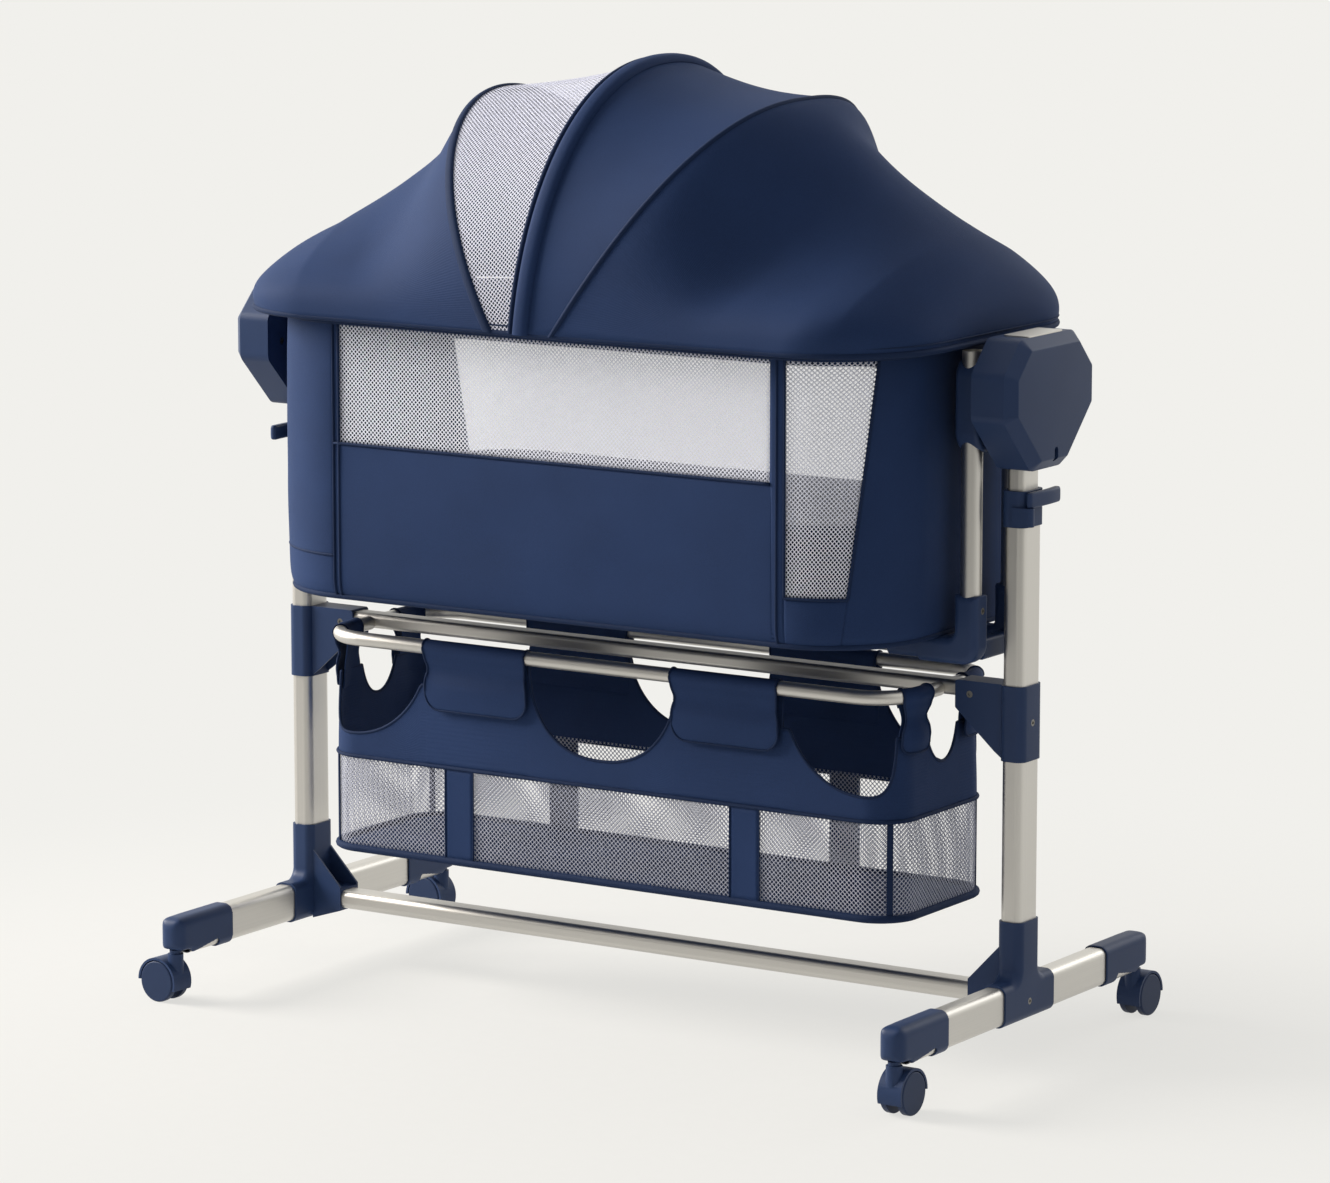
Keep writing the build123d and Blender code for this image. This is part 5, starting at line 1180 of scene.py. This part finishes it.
def height_lever(name, finish):
    """A height lever: a bar of rounded section that bows out from its hinge past the collar.

    Along it, t runs from 0 at the hinge to 1, and x bows out by 2 sin(pi t) mm. The half width grows
    from 3.1 to 4.2 mm, and both ends are drawn in as quarter ellipses over 4 mm. The section is a
    superellipse of power 4.
    """
    low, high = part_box(name)
    side = 1 if name.endswith("right") else -1
    t = 0.5 - 0.5 * np.cos(np.linspace(0, np.pi, 41))
    length = high.y - low.y
    y = low.y + length * t if side > 0 else high.y - length * t
    middle_x = side * (LEVER_X + LEVER_BOW * np.sin(np.pi * t))
    middle_z = (high.z + LEVER_BOTTOM) / 2
    from_end = np.minimum(t, 1 - t) * length
    rounding = np.sqrt(np.clip(1 - (1 - np.clip(from_end / 0.004, 0, 1)) ** 2, 0.0004, 1))
    half_x = (0.0031 + 0.0011 * smoothstep(t * 1.6 - 0.4)) * rounding
    half_z = (high.z - LEVER_BOTTOM) / 2 * (0.72 + 0.28 * rounding)
    turn = np.linspace(0, 2 * np.pi, 32, endpoint=False)
    across, up = (np.sign(wave) * np.abs(wave) ** 0.5 for wave in (np.cos(turn), np.sin(turn)))
    x = middle_x[:, None] + half_x[:, None] * across
    z = middle_z + half_z[:, None] * up
    points = np.stack(np.broadcast_arrays(x, y[:, None], z), -1)
    bar = grid_mesh(f"{name}_bar", points, finish, name, closed_u=True)
    cap_ends(bar, len(t), len(turn))
    with opened(bar) as shape:
        bmesh.ops.recalc_face_normals(shape, faces=shape.faces)
    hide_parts(name)


def finish_frame(finish):
    """Gives every kept part of the frame its material, and the moulded parts their soft edges."""
    width = bpy.context.scene.bassinet_sizes.edge_rounding
    finish_of = {part: name for name, parts in PART_FINISHES.items() for part in parts}
    for row in frame["record"]["subparts"]:
        part, slot = row["node"], row["material_slot"]
        if slot not in SLOT_FINISHES:
            continue
        chosen = finish[finish_of.get(part, SLOT_FINISHES[slot])]
        places = bpy.data.objects[part].material_slots
        if not places:
            bpy.data.objects[part].data.materials.append(chosen)
        for place in places:
            place.material = chosen
        if part.startswith("height_lever"):
            height_lever(part, chosen)
        elif slot == "navy_plastic":
            moulding = soft_edged(part, chosen, width)
            if part.startswith("foot_caps"):
                rounded_nose(moulding)


# ---------------------------------------------------------------- stage
BACKGROUND = linear("#f1f0ec")
CAMERA_PLACE = (3.3088, -5.1049, 1.4867)
CAMERA_TARGET = (0.0171, 0.0, 0.4567)
LAMP_TARGET = (0, 0, 0.6)
FLOOR_RADIUS = 2.4
# the flat pale tone's share of the floor: where it starts to grow, where it is whole, and what it starts at
FADE_START = 0.45
FADE_END = 1.35
FADE_SHARE = 0.76


def aim(thing, place, target):
    """Puts a camera or lamp at a place, looking at a point."""
    thing.location = place
    thing.rotation_euler = (Vector(target) - Vector(place)).to_track_quat("-Z", "Y").to_euler()


def area_lamp(name, place, size, power, colour):
    """A square soft box that looks at the bassinet."""
    lamp = bpy.data.lights.new(name, "AREA")
    lamp.size = size
    lamp.energy = power
    lamp.color = linear(colour)[:3]
    aim(add_object(name, lamp), place, LAMP_TARGET)


def floor_material():
    """Matt painted studio floor: pale, with faint shadows, and fading into the pale surroundings."""
    material, tree = new_material("Matt painted studio floor")
    place = node(tree, "ShaderNodeTexCoord").outputs["Object"]
    distance = node(tree, "ShaderNodeVectorMath", {"operation": "LENGTH"}, i0=place).outputs["Value"]
    fade = node(
        tree, "ShaderNodeMapRange", SMOOTH,
        Value=distance, From_Min=FADE_START, From_Max=FADE_END, To_Min=FADE_SHARE, To_Max=1.0,
    )
    # 17 mm clouds in the paint
    grain = node(tree, "ShaderNodeTexNoise", Vector=place, Scale=60.0, Detail=2.0)
    stops = [(0.3, linear("#e6e5e1")), (0.7, linear("#e9e8e4"))]
    paint = node(
        tree, "ShaderNodeBsdfDiffuse", Color=node(tree, "ShaderNodeValToRGB", {"stops": stops}, Fac=grain)
    )
    glow = node(tree, "ShaderNodeEmission", Color=BACKGROUND, Strength=1.0)
    rays = node(tree, "ShaderNodeLightPath").outputs
    direct = node(
        tree, "ShaderNodeMath", MAXIMUM, i0=rays["Is Camera Ray"], i1=rays["Is Transmission Ray"]
    )
    seen = node(tree, "ShaderNodeMath", MAXIMUM, i0=direct, i1=rays["Is Glossy Ray"])
    share = node(tree, "ShaderNodeMath", MULTIPLY, i0=fade, i1=seen)
    mixed = node(tree, "ShaderNodeMixShader", Fac=share, i1=paint, i2=glow)
    node(tree, "ShaderNodeOutputMaterial", Surface=mixed)
    return material


def studio_world(ambient):
    """Pale surroundings: the background's tone to the eye, soft light all round, and for polished metal
    a studio that is pale behind and above the bassinet and dim in front of it."""
    world = bpy.data.worlds.new("Pale studio")
    world.use_nodes = True
    tree = world.node_tree
    tree.nodes.clear()
    direction = node(
        tree, "ShaderNodeSeparateXYZ", Vector=node(tree, "ShaderNodeTexCoord").outputs["Generated"]
    )
    behind = node(
        tree, "ShaderNodeMapRange", SMOOTH,
        Value=direction.outputs["Y"], From_Min=-0.9, From_Max=0.3, To_Min=0.36, To_Max=1.1,
    )
    above = node(
        tree, "ShaderNodeMapRange", SMOOTH,
        Value=direction.outputs["Z"], From_Min=0.3, From_Max=0.8, To_Min=0.0, To_Max=0.35,
    )
    level = node(tree, "ShaderNodeMath", ADD, i0=behind, i1=above)
    rays = node(tree, "ShaderNodeLightPath").outputs
    seen = node(
        tree, "ShaderNodeMath", MAXIMUM, i0=rays["Is Camera Ray"], i1=rays["Is Transmission Ray"]
    )
    soft = node(tree, "ShaderNodeBackground", Color=linear("#f4f4f6"), Strength=ambient)
    studio = node(tree, "ShaderNodeBackground", Color=BACKGROUND, Strength=level)
    pale = node(tree, "ShaderNodeBackground", Color=BACKGROUND, Strength=1.0)
    mirrored = node(tree, "ShaderNodeMixShader", Fac=rays["Is Glossy Ray"], i1=soft, i2=studio)
    mixed = node(tree, "ShaderNodeMixShader", Fac=seen, i1=mirrored, i2=pale)
    node(tree, "ShaderNodeOutputWorld", Surface=mixed)
    return world


def make_stage(light):
    """The floor, the pale surroundings, the soft boxes and the camera."""
    scene = bpy.context.scene
    reach = np.linspace(0, FLOOR_RADIUS, 3)[::-1, None]
    turn = np.linspace(0, 2 * np.pi, 64, endpoint=False)
    disc = np.stack([reach * np.cos(turn), reach * np.sin(turn), 0 * reach * turn], -1)
    flip(grid_mesh("studio_floor", disc, floor_material(), None, closed_u=True))
    scene.world = studio_world(light.ambient)
    area_lamp("Key soft box", (-4.1, -1.35, 2.45), 2.4, light.key, "#fffaf4")
    area_lamp("Rear soft box", (1.4, 4.0, 1.9), 2.0, light.rear, "#ffffff")
    camera = bpy.data.cameras.new("Camera")
    camera.lens = 157.31
    camera.sensor_width = 36.0
    camera.clip_end = 60.0
    scene.camera = add_object("Camera", camera)
    aim(scene.camera, CAMERA_PLACE, CAMERA_TARGET)
    scene.view_settings.view_transform = "Standard"


# ---------------------------------------------------------------- the add-on
class BassinetSizes(bpy.types.PropertyGroup):
    """The sizes that a user would change: of what the frame doesn't fix."""

    piping: bpy.props.FloatProperty(
        name="Piping radius", description="Of the stitched piping on the body's panels", unit="LENGTH",
        min=0.0005, max=0.003, default=0.0016,
    )
    edge_rounding: bpy.props.FloatProperty(
        name="Edge rounding", description="Of the moulded parts' edges", unit="LENGTH",
        min=0.0003, max=0.002, default=0.0012,
    )
    net_pitch: bpy.props.FloatProperty(
        name="Mesh pitch", description="Between holes in a row of the window and canopy mesh", unit="LENGTH",
        min=0.002, max=0.01, default=0.0048,
    )
    basket_pitch: bpy.props.FloatProperty(
        name="Basket mesh pitch", description="Between holes in a row of the basket's mesh", unit="LENGTH",
        min=0.002, max=0.01, default=0.0052,
    )


class BassinetColours(bpy.types.PropertyGroup):
    """The colours that a user would change."""

    cloth: bpy.props.FloatVectorProperty(
        name="Cloth", description="Oxford cloth of canopy, body and basket", subtype="COLOR", size=4,
        min=0, max=1, default=linear("#253960"),
    )
    plastic: bpy.props.FloatVectorProperty(
        name="Plastic", description="Moulded joints, hubs, caps and casters", subtype="COLOR", size=4,
        min=0, max=1, default=linear("#2a3c5f"),
    )
    steel: bpy.props.FloatVectorProperty(
        name="Tube", description="Satin stainless tubes", subtype="COLOR", size=4,
        min=0, max=1, default=linear("#cfccc6"),
    )
    net: bpy.props.FloatVectorProperty(
        name="Mesh", description="Warp-knit mesh of the windows", subtype="COLOR", size=4,
        min=0, max=1, default=linear("#f2f4ff"),
    )


class BassinetLight(bpy.types.PropertyGroup):
    """The stage's light levels."""

    key: bpy.props.FloatProperty(
        name="Key", description="Power of the soft box at the left", unit="POWER", default=385.0
    )
    rear: bpy.props.FloatProperty(
        name="Rear", description="Power of the low soft box at the rear", unit="POWER", default=26.0
    )
    ambient: bpy.props.FloatProperty(
        name="Ambient", description="Strength of the light from all round", default=0.42, subtype="FACTOR"
    )


class BASSINET_OT_frame(bpy.types.Operator):
    """Gives the frame's tubes, joints, hubs and casters their materials"""

    bl_idname = "bassinet.frame"
    bl_label = "Finish the frame"

    def execute(self, context):
        finish_frame(finishes())
        return {"FINISHED"}


class BASSINET_OT_canopy(bpy.types.Operator):
    """Makes the canopy with its mesh panel and bindings"""

    bl_idname = "bassinet.canopy"
    bl_label = "Make the canopy"

    def execute(self, context):
        make_canopy(finishes())
        return {"FINISHED"}


class BASSINET_OT_body(bpy.types.Operator):
    """Makes the bassinet's cloth body with its windows, seams and piping"""

    bl_idname = "bassinet.body"
    bl_label = "Make the body"

    def execute(self, context):
        make_body(finishes())
        return {"FINISHED"}


class BASSINET_OT_basket(bpy.types.Operator):
    """Makes the storage basket with its flaps and loops"""

    bl_idname = "bassinet.basket"
    bl_label = "Make the basket"

    def execute(self, context):
        make_basket(finishes())
        return {"FINISHED"}


class BASSINET_OT_mattress(bpy.types.Operator):
    """Makes the padded mattress"""

    bl_idname = "bassinet.mattress"
    bl_label = "Make the mattress"

    def execute(self, context):
        make_mattress(finishes())
        return {"FINISHED"}


class BASSINET_OT_stage(bpy.types.Operator):
    """Makes the floor, the light and the camera"""

    bl_idname = "bassinet.stage"
    bl_label = "Set the stage"

    def execute(self, context):
        make_stage(context.scene.bassinet_light)
        return {"FINISHED"}


class BASSINET_PT_panel(bpy.types.Panel):
    """Lists the colours, the light and the steps"""

    bl_label = "Bassinet"
    bl_idname = "BASSINET_PT_panel"
    bl_space_type = "VIEW_3D"
    bl_region_type = "UI"
    bl_category = "Bassinet"

    def draw(self, context):
        layout = self.layout
        scene = context.scene
        for group in (scene.bassinet_sizes, scene.bassinet_colours, scene.bassinet_light):
            for name in group.__annotations__:
                layout.prop(group, name)
        for step in STEPS:
            layout.operator(step.bl_idname)


STEPS = (
    BASSINET_OT_frame,
    BASSINET_OT_canopy,
    BASSINET_OT_body,
    BASSINET_OT_basket,
    BASSINET_OT_mattress,
    BASSINET_OT_stage,
)
CLASSES = (BassinetSizes, BassinetColours, BassinetLight, *STEPS, BASSINET_PT_panel)


def register():
    """Registers the classes and their settings."""
    for kind in CLASSES:
        bpy.utils.register_class(kind)
    bpy.types.Scene.bassinet_sizes = bpy.props.PointerProperty(type=BassinetSizes)
    bpy.types.Scene.bassinet_colours = bpy.props.PointerProperty(type=BassinetColours)
    bpy.types.Scene.bassinet_light = bpy.props.PointerProperty(type=BassinetLight)


def unregister():
    """Takes the classes and their settings away."""
    del bpy.types.Scene.bassinet_light
    del bpy.types.Scene.bassinet_colours
    del bpy.types.Scene.bassinet_sizes
    for kind in reversed(CLASSES):
        bpy.utils.unregister_class(kind)


def main():
    """Makes every piece in order."""
    register()
    for step in STEPS:
        group, name = step.bl_idname.split(".")
        getattr(getattr(bpy.ops, group), name)()


if __name__ == "__main__":
    main()
